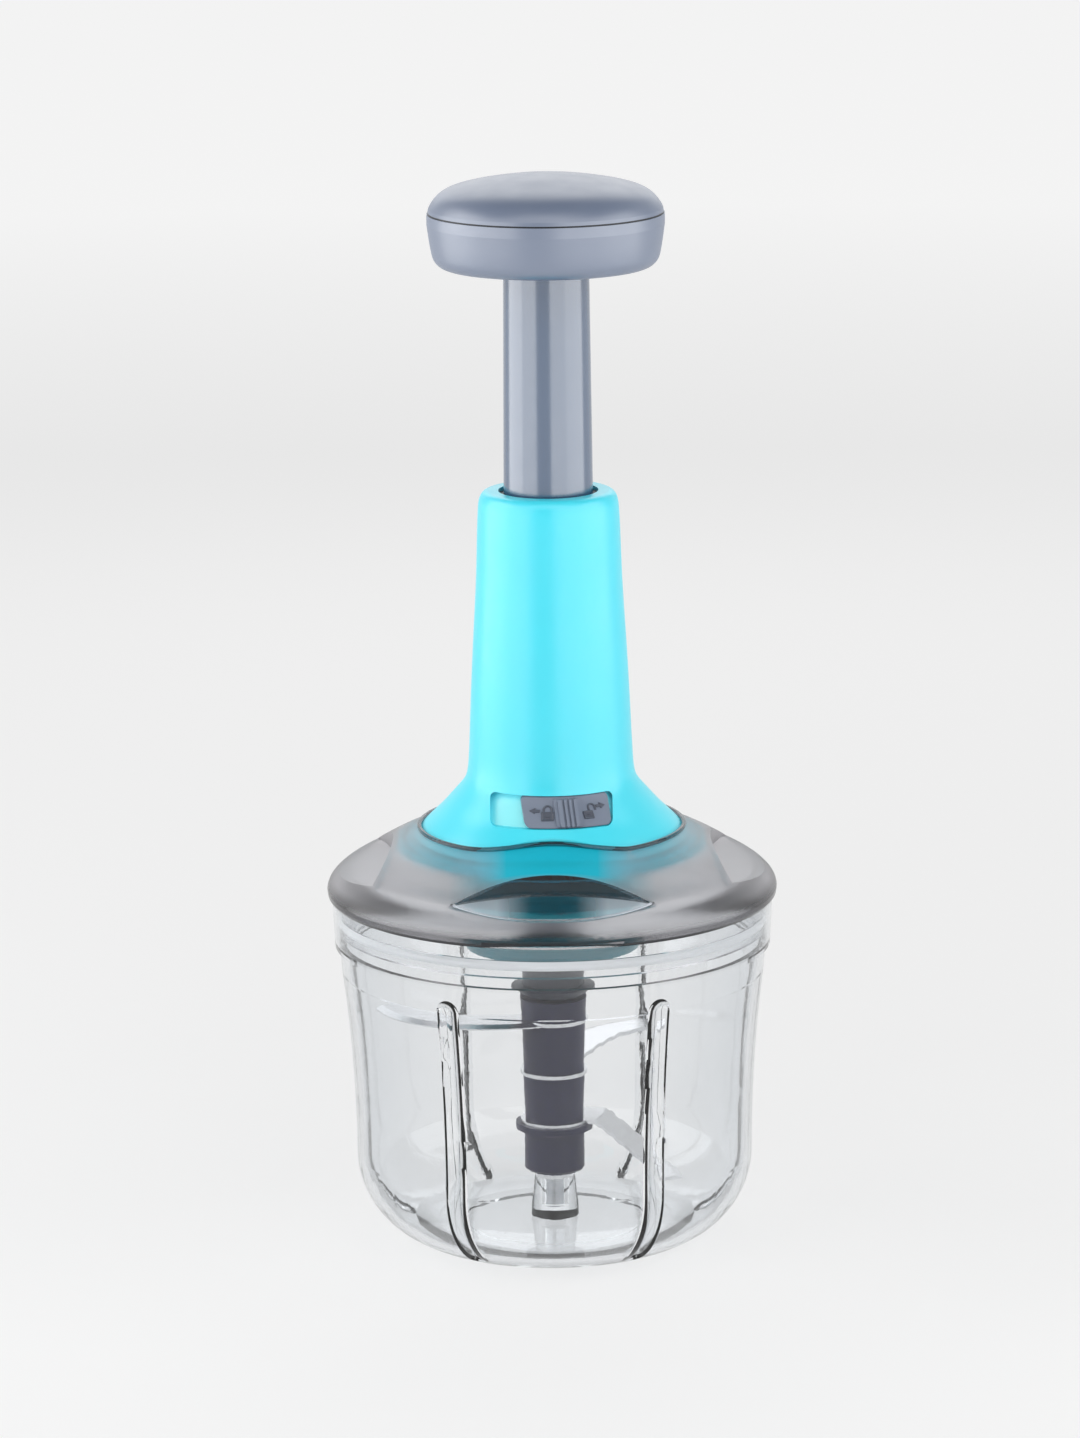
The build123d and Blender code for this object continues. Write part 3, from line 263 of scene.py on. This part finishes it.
def glinting_ends(name, colour, glint_colour, start, end):
    """Clear plastic that turns pale and less clear to both sides, over start..end from the middle:
    painted glints.
    """
    material, tree, shader, _, cloud = clear_shader(name, SCOOP_FLOOR_ROUGHNESS)
    across = math_node(tree, "ABSOLUTE", axes_of(tree, object_place(tree))["X"])
    glint_share = spread(tree, across, 0.0, 1.0, start, end)
    middle = mix_colours(tree, cloud, shaded(colour, CLEAR_CLOUD), colour)
    link(tree, mix_colours(tree, glint_share, middle, glint_colour), shader.inputs["Base Color"])
    clearness = spread(tree, glint_share, 1.0, GLINT_CLEARNESS, 0.0, 1.0)
    link(tree, clearness, shader.inputs["Transmission Weight"])
    let_lamps_through(tree, shader, colour)
    return material


finishes = {
    "clear_plastic": see_through("clear_bowl_plastic", (0.965, 0.972, 0.978),
                                 (0.64, 0.68, 0.72), 0.0),
    "smoked_plastic": see_through("clear_lid_plastic", (0.96, 0.965, 0.97),
                                  (0.66, 0.69, 0.73), 0.0),
    "cyan_plastic": moulded_plastic("cyan_body_plastic", (0.045, 0.77, 0.93), 0.33,
                                    grain=0.004, ior=1.9),
    "tube_plastic": moulded_plastic("blue_grey_tube_plastic", (0.060, 0.106, 0.192), 0.18,
                                    grain=0.008, ior=2.3),
    "knob_plastic": moulded_plastic("satin_knob_plastic", (0.128, 0.170, 0.265), 0.36,
                                    grain=0.05, grain_scale=2600.0, ior=2.4),
    "lock_plastic": moulded_plastic("satin_lock_plastic", (0.20, 0.23, 0.30), 0.36),
    "dark_plastic": moulded_plastic("dark_sleeve_plastic", (0.015, 0.018, 0.022), 0.40),
    "hub_plastic": moulded_plastic("hub_plastic", (0.003, 0.003, 0.026), 0.36,
                                   grain=0.01, ior=1.42),
    "coupler_plastic": moulded_plastic("coupler_plastic", (0.030, 0.034, 0.047), 0.34,
                                       grain=0.01),
    "natural_plastic": moulded_plastic("natural_plastic", (0.72, 0.70, 0.64), 0.40),
    "blade_steel": ground_steel("ground_blade_steel", (0.72, 0.73, 0.75), 0.24),
    "bright_steel": ground_steel("turned_steel", (0.66, 0.67, 0.69), 0.22, along="ROUND"),
    "spring_steel": ground_steel("spring_wire", (0.45, 0.46, 0.48), 0.30, along="Z"),
    "nut_brass": ground_steel("machined_brass", (0.70, 0.50, 0.22), 0.28, along="ROUND"),
    "seal_rubber": moulded_plastic("pale_seal_silicone", (0.80, 0.82, 0.84), 0.45),
}
LID_LOW, LID_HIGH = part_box("lid")
LID_R = LID_HIGH.x
LID_EDGE_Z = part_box("bowl")[1].z + 1.2 * MM     # top of the edge that meets the bowl, painted near black as the gap's shadow
WELL_FLOOR_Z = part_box("body_shell")[0].z

# The dome carries a painted teal glow of the cyan flare near its well.
frosted_smoke = frosted_dome(
    "frosted_lid_plastic", (0.60, 0.59, 0.62), rim_colour=(0.085, 0.082, 0.092),
    painted_teal_colour=(0.01, 0.52, 0.66), rim_low=LID_EDGE_Z + 1.5 * MM, rim_high=LID_EDGE_Z + 5.5 * MM,
    roughness=0.42, haze=0.45)
# The scoop walls are the lid's smoked plastic, painted dark slate as the dark reflection they
# show.
scoop_wall_reflection_dark = see_through("scoop_wall_painted_reflection_plastic", (0.05, 0.075, 0.095), (0.02, 0.035, 0.05), 0.02)
# Pale, less clear ends on the front and back scoop floors: painted glints.
scoop_floor_glints = glinting_ends("scoop_floor_painted_glint_plastic", (0.42, 0.46, 0.49), (0.66, 0.70, 0.75),
                         start=7 * MM, end=17 * MM)
lip_plastic = see_through("lid_lip_plastic", (0.20, 0.195, 0.215), (0.11, 0.105, 0.12), 0.12)
# Opaque near-black for the smoked lid's lower edge: painted shadow of the gap over the bowl.
lid_edge_gap_shadow_plastic = moulded_plastic("lid_edge_gap_shadow_plastic", (0.015, 0.017, 0.022), 0.15)
scoop_lip_plastic = see_through("scoop_lip_plastic", (0.90, 0.92, 0.94), (0.70, 0.73, 0.77), 0.02)
well_cyan = moulded_plastic("cyan_well_plastic", (0.004, 0.78, 0.95), 0.35, grain=0.01)
# A paler copy of the body's cyan for the slider's pocket: painted highlight.
pocket_highlight_cyan = moulded_plastic("cyan_pocket_painted_highlight_plastic", (0.28, 0.93, 1.0), 0.33,
                              grain=0.004, ior=1.9)
# The body's cyan plastic, painted dark teal as the shade under the lid.
housing_shade_cyan = moulded_plastic("cyan_housing_painted_shade_plastic", (0.002, 0.13, 0.17), 0.33, grain=0.01)
# The marks are moulded in the slider's plastic; their darker grey is painted shade.
mark_shade_plastic = moulded_plastic("lock_mark_painted_shade_plastic", (0.085, 0.095, 0.125), 0.40)

slot_of = {part["node"]: part["material_slot"] for part in frame["record"]["subparts"]}
for node, slot in slot_of.items():
    mesh = nodes[node].data
    mesh.materials.clear()
    mesh.materials.append(finishes[slot])
# The gear housing gets the cyan with painted shade.
nodes["gear_housing"].data.materials[0] = housing_shade_cyan


# ---------------------------------------------------------------- modelling helpers
def deselect():
    bpy.ops.object.select_all(action="DESELECT")


def activate(piece):
    deselect()
    piece.select_set(True)
    bpy.context.view_layer.objects.active = piece


def copy_of(node, name):
    """A new object with a copy of a CAD node's mesh."""
    piece = bpy.data.objects.new(name, nodes[node].data.copy())
    bpy.context.scene.collection.objects.link(piece)
    return piece


def finish_piece(piece, name, body):
    """Gives one of this script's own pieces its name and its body."""
    piece.name = name
    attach(piece, body)


def select_faces(piece, wanted):
    """Selects just the faces whose centre and normal pass a test."""
    activate(piece)
    bpy.ops.object.mode_set(mode="EDIT")
    bpy.ops.mesh.select_mode(type="FACE")
    bpy.ops.mesh.select_all(action="DESELECT")
    bpy.ops.object.mode_set(mode="OBJECT")
    for face in piece.data.polygons:
        face.select = wanted(face.center, face.normal)


def assign_material(piece, material):
    """Gives the selected faces a material of their own."""
    piece.data.materials.append(material)
    piece.active_material_index = len(piece.data.materials) - 1
    bpy.ops.object.mode_set(mode="EDIT")
    bpy.ops.object.material_slot_assign()
    bpy.ops.object.mode_set(mode="OBJECT")


def apply_place(piece):
    """Moves a piece's place and turn into its mesh."""
    activate(piece)
    bpy.ops.object.transform_apply(location=True, rotation=True, scale=True)


# ---------------------------------------------------------------- knob
KNOB_SEAM_Z, KNOB_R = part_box("knob_base")[1].z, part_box("knob_cap")[1].x
KNOB_SEAM_HEIGHT, KNOB_SEAM_R = 0.6 * MM, 0.9 * KNOB_R


def in_knob_seam(centre, normal):
    """True on the narrow groove between the knob's crown and its base."""
    in_height = KNOB_SEAM_Z < centre.z < KNOB_SEAM_Z + KNOB_SEAM_HEIGHT
    return in_height and centre.xy.length > KNOB_SEAM_R


# The groove gets near-black plastic: painted shade between the knob's crown and base.
select_faces(nodes["knob_cap"], in_knob_seam)
assign_material(nodes["knob_cap"], finishes["dark_plastic"])


# ---------------------------------------------------------------- lid
FLARE_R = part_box("body_shell")[1].x
DOME_INNER_R = FLARE_R - 6 * MM
DOME_UP, DOME_DOWN = 0.965, -0.2                # how far the dome's normals lean up and down
SCOOP_AXIS, SCOOP_SWEEP = LID_R + 62 * MM, 83 * MM
SCOOP_WALL_SLACK, SCOOP_WALL_LEAN = 0.3 * MM, 0.05
SCOOP_LOW_Z = LID_EDGE_Z + 4 * MM
EDGE_LOW_Z, EDGE_INNER_R, EDGE_DOWN = LID_LOW.z + 9 * MM, LID_R - 5 * MM, -0.9
WELL_INNER_R, WELL_OUTER_R = FLARE_R - 12 * MM, FLARE_R + 2 * MM
WELL_WALL_DROP, WELL_TOP_SLACK, WELL_UNDER_SLACK = 1 * MM, 0.5 * MM, 3 * MM
WELL_WALL_LEAN, WELL_FLOOR_UP = 0.02, 0.98
WELL_EDGE_REACH, WELL_EDGE_LEAN, WELL_EDGE_UP = 6 * MM, 0.06, (0.3, 0.97)
WELD_DISTANCE, BEAD_ROUNDING = 1e-6, 3


def is_outward(centre, normal):
    return normal.x * centre.x + normal.y * centre.y > 0


def on_dome(centre, normal):
    """True on the lid's outer face, from the well round the flare down to the rim."""
    sloping = DOME_DOWN < normal.z < DOME_UP
    return (is_outward(centre, normal) and sloping and centre.z > LID_EDGE_Z
            and centre.xy.length > DOME_INNER_R)


def at_front_or_back(centre):
    return abs(centre.x) <= abs(centre.y)


def sweep_distance(centre):
    """Distance from the axis of the round cut that the front and back scoops are made with."""
    return math.hypot(SCOOP_AXIS - abs(centre.y), centre.x)


def on_scoop_wall(centre, normal):
    """True on the back wall of a finger scoop at the front or the back."""
    on_sweep = abs(sweep_distance(centre) - SCOOP_SWEEP) < SCOOP_WALL_SLACK
    upright = abs(normal.z) < SCOOP_WALL_LEAN
    return at_front_or_back(centre) and on_sweep and upright and centre.z > SCOOP_LOW_Z


def on_scoop_floor(centre, normal):
    """True on the floor of a finger scoop at the front or the back."""
    in_sweep = sweep_distance(centre) < SCOOP_SWEEP
    lying = normal.z > DOME_UP and SCOOP_LOW_Z < centre.z < WELL_FLOOR_Z
    return at_front_or_back(centre) and in_sweep and lying


def on_side_scoop(centre, normal):
    """True in the finger scoops at the two sides, which are frosted like the dome."""
    turned = Vector((centre.y, centre.x, centre.z))
    return on_scoop_wall(turned, normal) or on_scoop_floor(turned, normal)


def on_edge(centre, normal):
    """True on the lid's lower edge and the flat under it, which face the bowl and carry the
    painted gap shadow.
    """
    low = EDGE_LOW_Z < centre.z < LID_EDGE_Z and centre.xy.length > EDGE_INNER_R
    return low and (normal.z < EDGE_DOWN or is_outward(centre, normal))


def in_well(centre, normal):
    """True on the wall and the floor that hold the flare, and on the ring under that floor."""
    above_floor = centre.z - WELL_FLOOR_Z
    wall = (abs(normal.z) < WELL_WALL_LEAN and not is_outward(centre, normal)
            and above_floor > -WELL_WALL_DROP)
    under = normal.z < -WELL_FLOOR_UP and abs(above_floor) < WELL_UNDER_SLACK
    top = normal.z > WELL_FLOOR_UP and abs(above_floor) < WELL_TOP_SLACK
    return (wall or under or top) and WELL_INNER_R < centre.xy.length < WELL_OUTER_R


# The front and back scoop floors get the painted glints.
# The front and back scoop walls get the painted dark reflection.
# The lid's lower edge gets the painted gap shadow.
for zone, finish in ((on_dome, frosted_smoke), (on_side_scoop, frosted_smoke),
                     (on_scoop_wall, scoop_wall_reflection_dark), (on_scoop_floor, scoop_floor_glints),
                     (on_edge, lid_edge_gap_shadow_plastic), (in_well, well_cyan)):
    select_faces(nodes["lid"], zone)
    assign_material(nodes["lid"], finish)


def on_well_edge(middle, faces):
    """True on the edge between the well's upright wall and the dome."""
    steep, flat = sorted((face.normal.z for face in faces), key=abs)
    near_flare = abs(middle.xy.length - FLARE_R) < WELL_EDGE_REACH
    low, high = WELL_EDGE_UP
    return near_flare and abs(steep) < WELL_EDGE_LEAN and low < flat < high


def on_scoop_edge(middle, faces):
    """True on the edge between a front or back scoop's floor and the dome."""
    lying = [on_scoop_floor(face.calc_center_median(), face.normal) for face in faces]
    sloping = [on_dome(face.calc_center_median(), face.normal) for face in faces]
    return any(lying) and any(sloping)


def close_line(piece):
    """Joins the two ends of a line, so that it runs all the way round."""
    bpy.ops.mesh.select_mode(type="VERT")
    bpy.ops.mesh.select_all(action="DESELECT")
    work = bmesh.from_edit_mesh(piece.data)
    for vert in work.verts:
        vert.select = len(vert.link_edges) == 1
    bpy.ops.mesh.edge_face_add()
    bpy.ops.mesh.select_all(action="SELECT")


def lid_bead(name, on_line, plastic, radius, rise, standoff=0.0, evened=0):
    """Rounded bead along the edges of the lid that a test picks, its line evened so many times."""
    deselect()
    lip = copy_of("lid", name)
    lip.data.materials.clear()
    activate(lip)
    bpy.ops.object.mode_set(mode="EDIT")
    bpy.ops.mesh.select_all(action="SELECT")
    bpy.ops.mesh.remove_doubles(threshold=WELD_DISTANCE)
    bpy.ops.mesh.select_mode(type="EDGE")
    bpy.ops.mesh.select_all(action="DESELECT")
    work = bmesh.from_edit_mesh(lip.data)
    for edge in work.edges:
        middle = (edge.verts[0].co + edge.verts[1].co) / 2
        edge.select = len(edge.link_faces) == 2 and on_line(middle, edge.link_faces)
    bpy.ops.mesh.select_all(action="INVERT")
    bpy.ops.mesh.delete(type="EDGE_FACE")
    bpy.ops.mesh.select_all(action="SELECT")
    bpy.ops.mesh.delete_loose(use_verts=True, use_edges=False, use_faces=False)
    bpy.ops.mesh.select_all(action="SELECT")
    stretch = 1 + standoff / FLARE_R
    bpy.ops.transform.resize(value=(stretch, stretch, 1.0), center_override=(0, 0, 0))
    bpy.ops.transform.translate(value=(0, 0, rise))
    if evened:
        close_line(lip)
        bpy.ops.mesh.vertices_smooth(factor=0.5, repeat=evened)
    bpy.ops.object.mode_set(mode="OBJECT")
    bpy.ops.object.convert(target="CURVE")
    lip.data.bevel_depth, lip.data.bevel_resolution = radius, BEAD_ROUNDING
    bpy.ops.object.convert(target="MESH")
    bpy.ops.object.shade_smooth()
    lip.data.materials.append(plastic)
    finish_piece(lip, name, "head")


lid_bead("lid_lip", on_well_edge, lip_plastic, radius=0.75 * MM, rise=0.3 * MM,
         standoff=0.5 * MM, evened=12)
lid_bead("scoop_lip", on_scoop_edge, scoop_lip_plastic, radius=0.6 * MM, rise=0.15 * MM)


def spring_coil():
    """The return spring between its seat and the plunger's foot, copied onto a mesh of its own
    that rides the head, in place of the CAD node.
    """
    coil = copy_of("return_spring", "spring_coil")
    finish_piece(coil, "spring_coil", "head")
    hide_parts("return_spring")
    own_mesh(coil)


spring_coil()


# ---------------------------------------------------------------- lock marks
SLIDER_LOW, SLIDER_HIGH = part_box("lock_slider")
SLIDER_MIDDLE = (SLIDER_LOW.z + SLIDER_HIGH.z) / 2
SLIDER_TURN = math.radians(10)                  # the slider's middle, from the front towards +X
POCKET_HALF, POCKET_GAP = 19 * MM, 1 * MM
POCKET_TOP_R, POCKET_TAPER = 25.7 * MM, 0.84
RAY_START = 60 * MM                             # well in front of the slider
MARK_SINK = 0.2 * MM
LOCK_DEPTH, LOCK_MIDDLE = 0.7 * MM, 0.25 * MM
LOCK_ROUNDING, LOCK_RIM, LOCK_SUNK, LOCK_PANEL = 0.22 * MM, 0.35 * MM, 0.25 * MM, 0.75 * MM
SHACKLE_WIRE_R, SHACKLE_LEG = 0.36 * MM, 1.0 * MM
ARROW_R, ARROW_DEPTH, ARROW_MIDDLE = 1.25 * MM, 0.6 * MM, 0.2 * MM
ARROW_SHAFT, ARROW_SHAFT_SHARE, ARROW_ROUNDING = 1.5 * MM, 0.42, 0.08 * MM
SQUARE_ON = 0.99                                # a normal that points along an axis
SMOOTH_BELOW = math.radians(35)


def in_pocket(centre, normal):
    """True on the sunken face of the body that the slider runs over."""
    front = centre.y < 0 and abs(centre.x) < POCKET_HALF
    floor_r = POCKET_TOP_R + POCKET_TAPER * (SLIDER_HIGH.z - centre.z)
    return (front and is_outward(centre, normal) and centre.xy.length < floor_r
            and SLIDER_LOW.z - POCKET_GAP < centre.z < SLIDER_HIGH.z + POCKET_GAP)


# The pocket gets the paler cyan: painted highlight.
select_faces(nodes["body_shell"], in_pocket)
assign_material(nodes["body_shell"], pocket_highlight_cyan)


def on_slider(across, up):
    """Place and turn of a flat mark on the slider's face, across and up from its middle."""
    turn = Matrix.Rotation(SLIDER_TURN, 4, "Z")
    start = turn @ Vector((across, -RAY_START, SLIDER_MIDDLE + up))
    hit, place, normal, _ = nodes["lock_slider"].ray_cast(start, turn @ Vector((0, 1, 0)))
    if not hit:
        raise ValueError("the mark misses the slider")
    side = Vector((0, 0, 1)).cross(normal).normalized()
    axes = Matrix((side, normal.cross(side), normal)).transposed().to_4x4()
    return Matrix.Translation(place - normal * MARK_SINK) @ axes


def shackle(width, lift, lean):
    """Bow of a padlock: half a ring with two legs."""
    bpy.ops.mesh.primitive_torus_add(
        major_segments=24, minor_segments=8, major_radius=width / 2, minor_radius=SHACKLE_WIRE_R,
        location=(0, 0, 0))
    bow = bpy.context.object
    bpy.ops.object.mode_set(mode="EDIT")
    bpy.ops.mesh.select_all(action="SELECT")
    bpy.ops.mesh.bisect(plane_co=(0, 0, 0), plane_no=(0, 1, 0), clear_inner=True, use_fill=True)
    bpy.ops.mesh.extrude_region_move(TRANSFORM_OT_translate={"value": (0, -SHACKLE_LEG, 0)})
    bpy.ops.mesh.select_all(action="SELECT")
    bpy.ops.transform.translate(value=(lean, lift, LOCK_MIDDLE))
    bpy.ops.object.mode_set(mode="OBJECT")
    return bow


def padlock_body(width, height):
    """Rounded block with a sunken face and a raised panel in it."""
    bpy.ops.mesh.primitive_cube_add(size=1, location=(0, -height / 2, LOCK_MIDDLE),
                                    scale=(width, height, LOCK_DEPTH))
    block = bpy.context.object
    apply_place(block)
    bpy.ops.object.mode_set(mode="EDIT")
    bpy.ops.mesh.select_all(action="SELECT")
    bpy.ops.mesh.bevel(offset=LOCK_ROUNDING, segments=2, affect="EDGES")
    bpy.ops.object.mode_set(mode="OBJECT")
    select_faces(block, lambda centre, normal: normal.z > SQUARE_ON)
    bpy.ops.object.mode_set(mode="EDIT")
    bpy.ops.mesh.inset(thickness=LOCK_RIM, depth=-LOCK_SUNK)
    bpy.ops.mesh.inset(thickness=LOCK_PANEL)
    bpy.ops.mesh.extrude_region_move(TRANSFORM_OT_translate={"value": (0, 0, LOCK_SUNK)})
    bpy.ops.object.mode_set(mode="OBJECT")
    return block


def arrow(turn):
    """Arrow: a three-sided head with a shaft drawn out of its base."""
    bpy.ops.mesh.primitive_cylinder_add(
        vertices=3, radius=ARROW_R, depth=ARROW_DEPTH, location=(0, 0, ARROW_MIDDLE),
        rotation=(0, 0, -math.pi / 2))
    head = bpy.context.object
    apply_place(head)
    select_faces(head, lambda centre, normal: normal.x < -SQUARE_ON)
    bpy.ops.object.mode_set(mode="EDIT")
    bpy.ops.mesh.inset(thickness=0.0)
    bpy.ops.transform.resize(value=(1, ARROW_SHAFT_SHARE, 1))
    bpy.ops.mesh.extrude_region_move(TRANSFORM_OT_translate={"value": (-ARROW_SHAFT, 0, 0)})
    bpy.ops.mesh.select_all(action="SELECT")
    bpy.ops.mesh.bevel(offset=ARROW_ROUNDING, segments=1, affect="EDGES")
    bpy.ops.object.mode_set(mode="OBJECT")
    head.rotation_euler = (0, 0, turn)
    apply_place(head)
    return head


def place_mark(pieces, across, up):
    """Seats the pieces of one mark on the slider's face."""
    for piece in pieces:
        piece.matrix_world = on_slider(across, up)
        apply_place(piece)
    return pieces


def lock_marks():
    """A shut padlock with an arrow and an open padlock with an arrow, moulded on the slider, in a
    darker grey that paints their shade.
    """
    shut = [padlock_body(width=4.0 * MM, height=3.2 * MM),
            shackle(width=2.5 * MM, lift=0.8 * MM, lean=0)]
    made = place_mark(shut, across=-6.3 * MM, up=0.1 * MM)
    made += place_mark([arrow(math.pi)], across=-10.6 * MM, up=0.3 * MM)
    opened = [padlock_body(width=3.3 * MM, height=2.8 * MM),
              shackle(width=2.2 * MM, lift=1.2 * MM, lean=1.6 * MM)]
    made += place_mark(opened, across=6.2 * MM, up=-0.1 * MM)
    made += place_mark([arrow(0.0)], across=11.0 * MM, up=0.9 * MM)
    deselect()
    for piece in made:
        piece.select_set(True)
    bpy.context.view_layer.objects.active = made[0]
    bpy.ops.object.join()
    marks = bpy.context.object
    bpy.ops.object.shade_smooth_by_angle(angle=SMOOTH_BELOW)
    # The marks get the darker grey: painted shade.
    marks.data.materials.append(mark_shade_plastic)
    finish_piece(marks, "lock_marks", "lock")


lock_marks()


# ---------------------------------------------------------------- stage
FLOOR_SIZE, FLOOR_DROP = 24.0, 0.0002
FLOOR_SEEN, FLOOR_BOUNCE = 0.36, 0.78           # its colour as it is seen, and as it lights
GLOW_NEAR, GLOW_FAR = 0.54, 0.78
GLOW_START, GLOW_END = 0.25, 2.5                # distances over which the glow changes
WORLD_FRONT, WORLD_BACK = 0.24, 0.88
WORLD_START, WORLD_END = 0.35, 0.95             # shares of the way back where the world changes
WHITE = (1.0, 1.0, 1.0, 1.0)
LAMP_POWER = 4                                  # watts per unit of radiance and square metre
LAMP_TARGET = (0, 0, 0.25)


def floor_material():
    """Pale floor whose own glow keeps it even far from the lamps. The glow is there for rays
    that see the floor, directly or in gloss and glass, and not for those that light."""
    material, tree, shader = new_material("pale_floor")
    place = object_place(tree)
    path = add(tree, "LightPath").outputs
    mirrored = math_node(tree, "MAXIMUM", path["Is Glossy Ray"], path["Is Transmission Ray"])
    seen = math_node(tree, "MAXIMUM", path["Is Camera Ray"], mirrored)
    tone = mix_colours(tree, seen, (FLOOR_BOUNCE,) * 3, (FLOOR_SEEN,) * 3)
    link(tree, tone, shader.inputs["Base Color"])
    shader.inputs["Roughness"].default_value = 1.0
    shader.inputs["Specular IOR Level"].default_value = 0.0
    distance = add(tree, "VectorMath", operation="LENGTH")
    link(tree, place, distance.inputs[0])
    glow = spread(tree, distance.outputs["Value"], GLOW_NEAR, GLOW_FAR, GLOW_START, GLOW_END)
    shader.inputs["Emission Color"].default_value = WHITE
    link(tree, math_node(tree, "MULTIPLY", glow, seen), shader.inputs["Emission Strength"])
    return material


deselect()
bpy.ops.mesh.primitive_plane_add(size=FLOOR_SIZE, location=(0, 0, -FLOOR_DROP))
floor = bpy.context.object
floor.name = "floor"
floor.data.materials.append(floor_material())


def studio_world():
    """Dim in front, bright behind, as in a room with a lit white sweep."""
    world = bpy.data.worlds.new("studio")
    bpy.context.scene.world = world
    world.use_nodes = True
    tree = world.node_tree
    axes = axes_of(tree, add(tree, "TexCoord").outputs["Generated"])
    strength = spread(tree, axes["Y"], WORLD_FRONT, WORLD_BACK, WORLD_START, WORLD_END)
    background = tree.nodes["Background"]
    background.inputs["Color"].default_value = WHITE
    link(tree, strength, background.inputs["Strength"])


studio_world()


def softbox(name, half_angle, distance, height, radiance, place, target):
    """Area lamp that faces a target, as wide as two half angles at a distance."""
    width = 2 * distance * math.tan(math.radians(half_angle))
    lamp = bpy.data.lights.new(name, "AREA")
    lamp.shape, lamp.size, lamp.size_y = "RECTANGLE", width, height
    lamp.energy = LAMP_POWER * radiance * width * height
    holder = bpy.data.objects.new(name, lamp)
    bpy.context.scene.collection.objects.link(holder)
    holder.location = place
    holder.rotation_euler = (Vector(target) - holder.location).to_track_quat("-Z", "Y").to_euler()


def side_softbox(name, azimuth, half_angle, radiance, distance=0.75, low=0.04, high=0.95):
    """Upright softbox at an azimuth in degrees from the front towards +X, facing the object."""
    angle, middle = math.radians(azimuth), (low + high) / 2
    place = (distance * math.sin(angle), -distance * math.cos(angle), middle)
    softbox(name, half_angle, distance, high - low, radiance, place, (0, 0, middle))


side_softbox("left_side_softbox", azimuth=-93, half_angle=26, radiance=1.6)
side_softbox("left_front_softbox", azimuth=-47, half_angle=19, radiance=1.1)
side_softbox("right_front_softbox", azimuth=29, half_angle=21, radiance=1.0)
side_softbox("right_side_softbox", azimuth=78, half_angle=28, radiance=1.25)
softbox("top_softbox", half_angle=30, distance=1.0, height=0.8, radiance=0.75,
        place=(0.0, 1.0, 0.80), target=LAMP_TARGET)
softbox("high_front_softbox", half_angle=30, distance=0.75, height=0.5, radiance=0.75,
        place=(0.0, -0.60, 1.00), target=LAMP_TARGET)


# ---------------------------------------------------------------- camera
CAMERA_PLACE, CAMERA_PITCH, CAMERA_ROLL = (0.0, -1.7147, 0.5557), 0.2225, -0.0098
FOCAL_PIXELS, IMAGE_WIDTH, AXIS_PIXEL = 5597.6, 1080.0, 550.5
camera = bpy.data.cameras.new("camera")
camera.sensor_fit, camera.sensor_width = "HORIZONTAL", 36.0
camera.lens = FOCAL_PIXELS / IMAGE_WIDTH * camera.sensor_width
camera.shift_x = (IMAGE_WIDTH / 2 - AXIS_PIXEL) / IMAGE_WIDTH
camera.clip_start, camera.clip_end = 0.01, 50.0
viewer = bpy.data.objects.new("camera", camera)
bpy.context.scene.collection.objects.link(viewer)
viewer.matrix_world = (Matrix.Translation(CAMERA_PLACE)
                       @ Matrix.Rotation(math.pi / 2 - CAMERA_PITCH, 4, "X")
                       @ Matrix.Rotation(CAMERA_ROLL, 4, "Z"))
bpy.context.scene.camera = viewer
bpy.context.scene.view_settings.view_transform = "Standard"
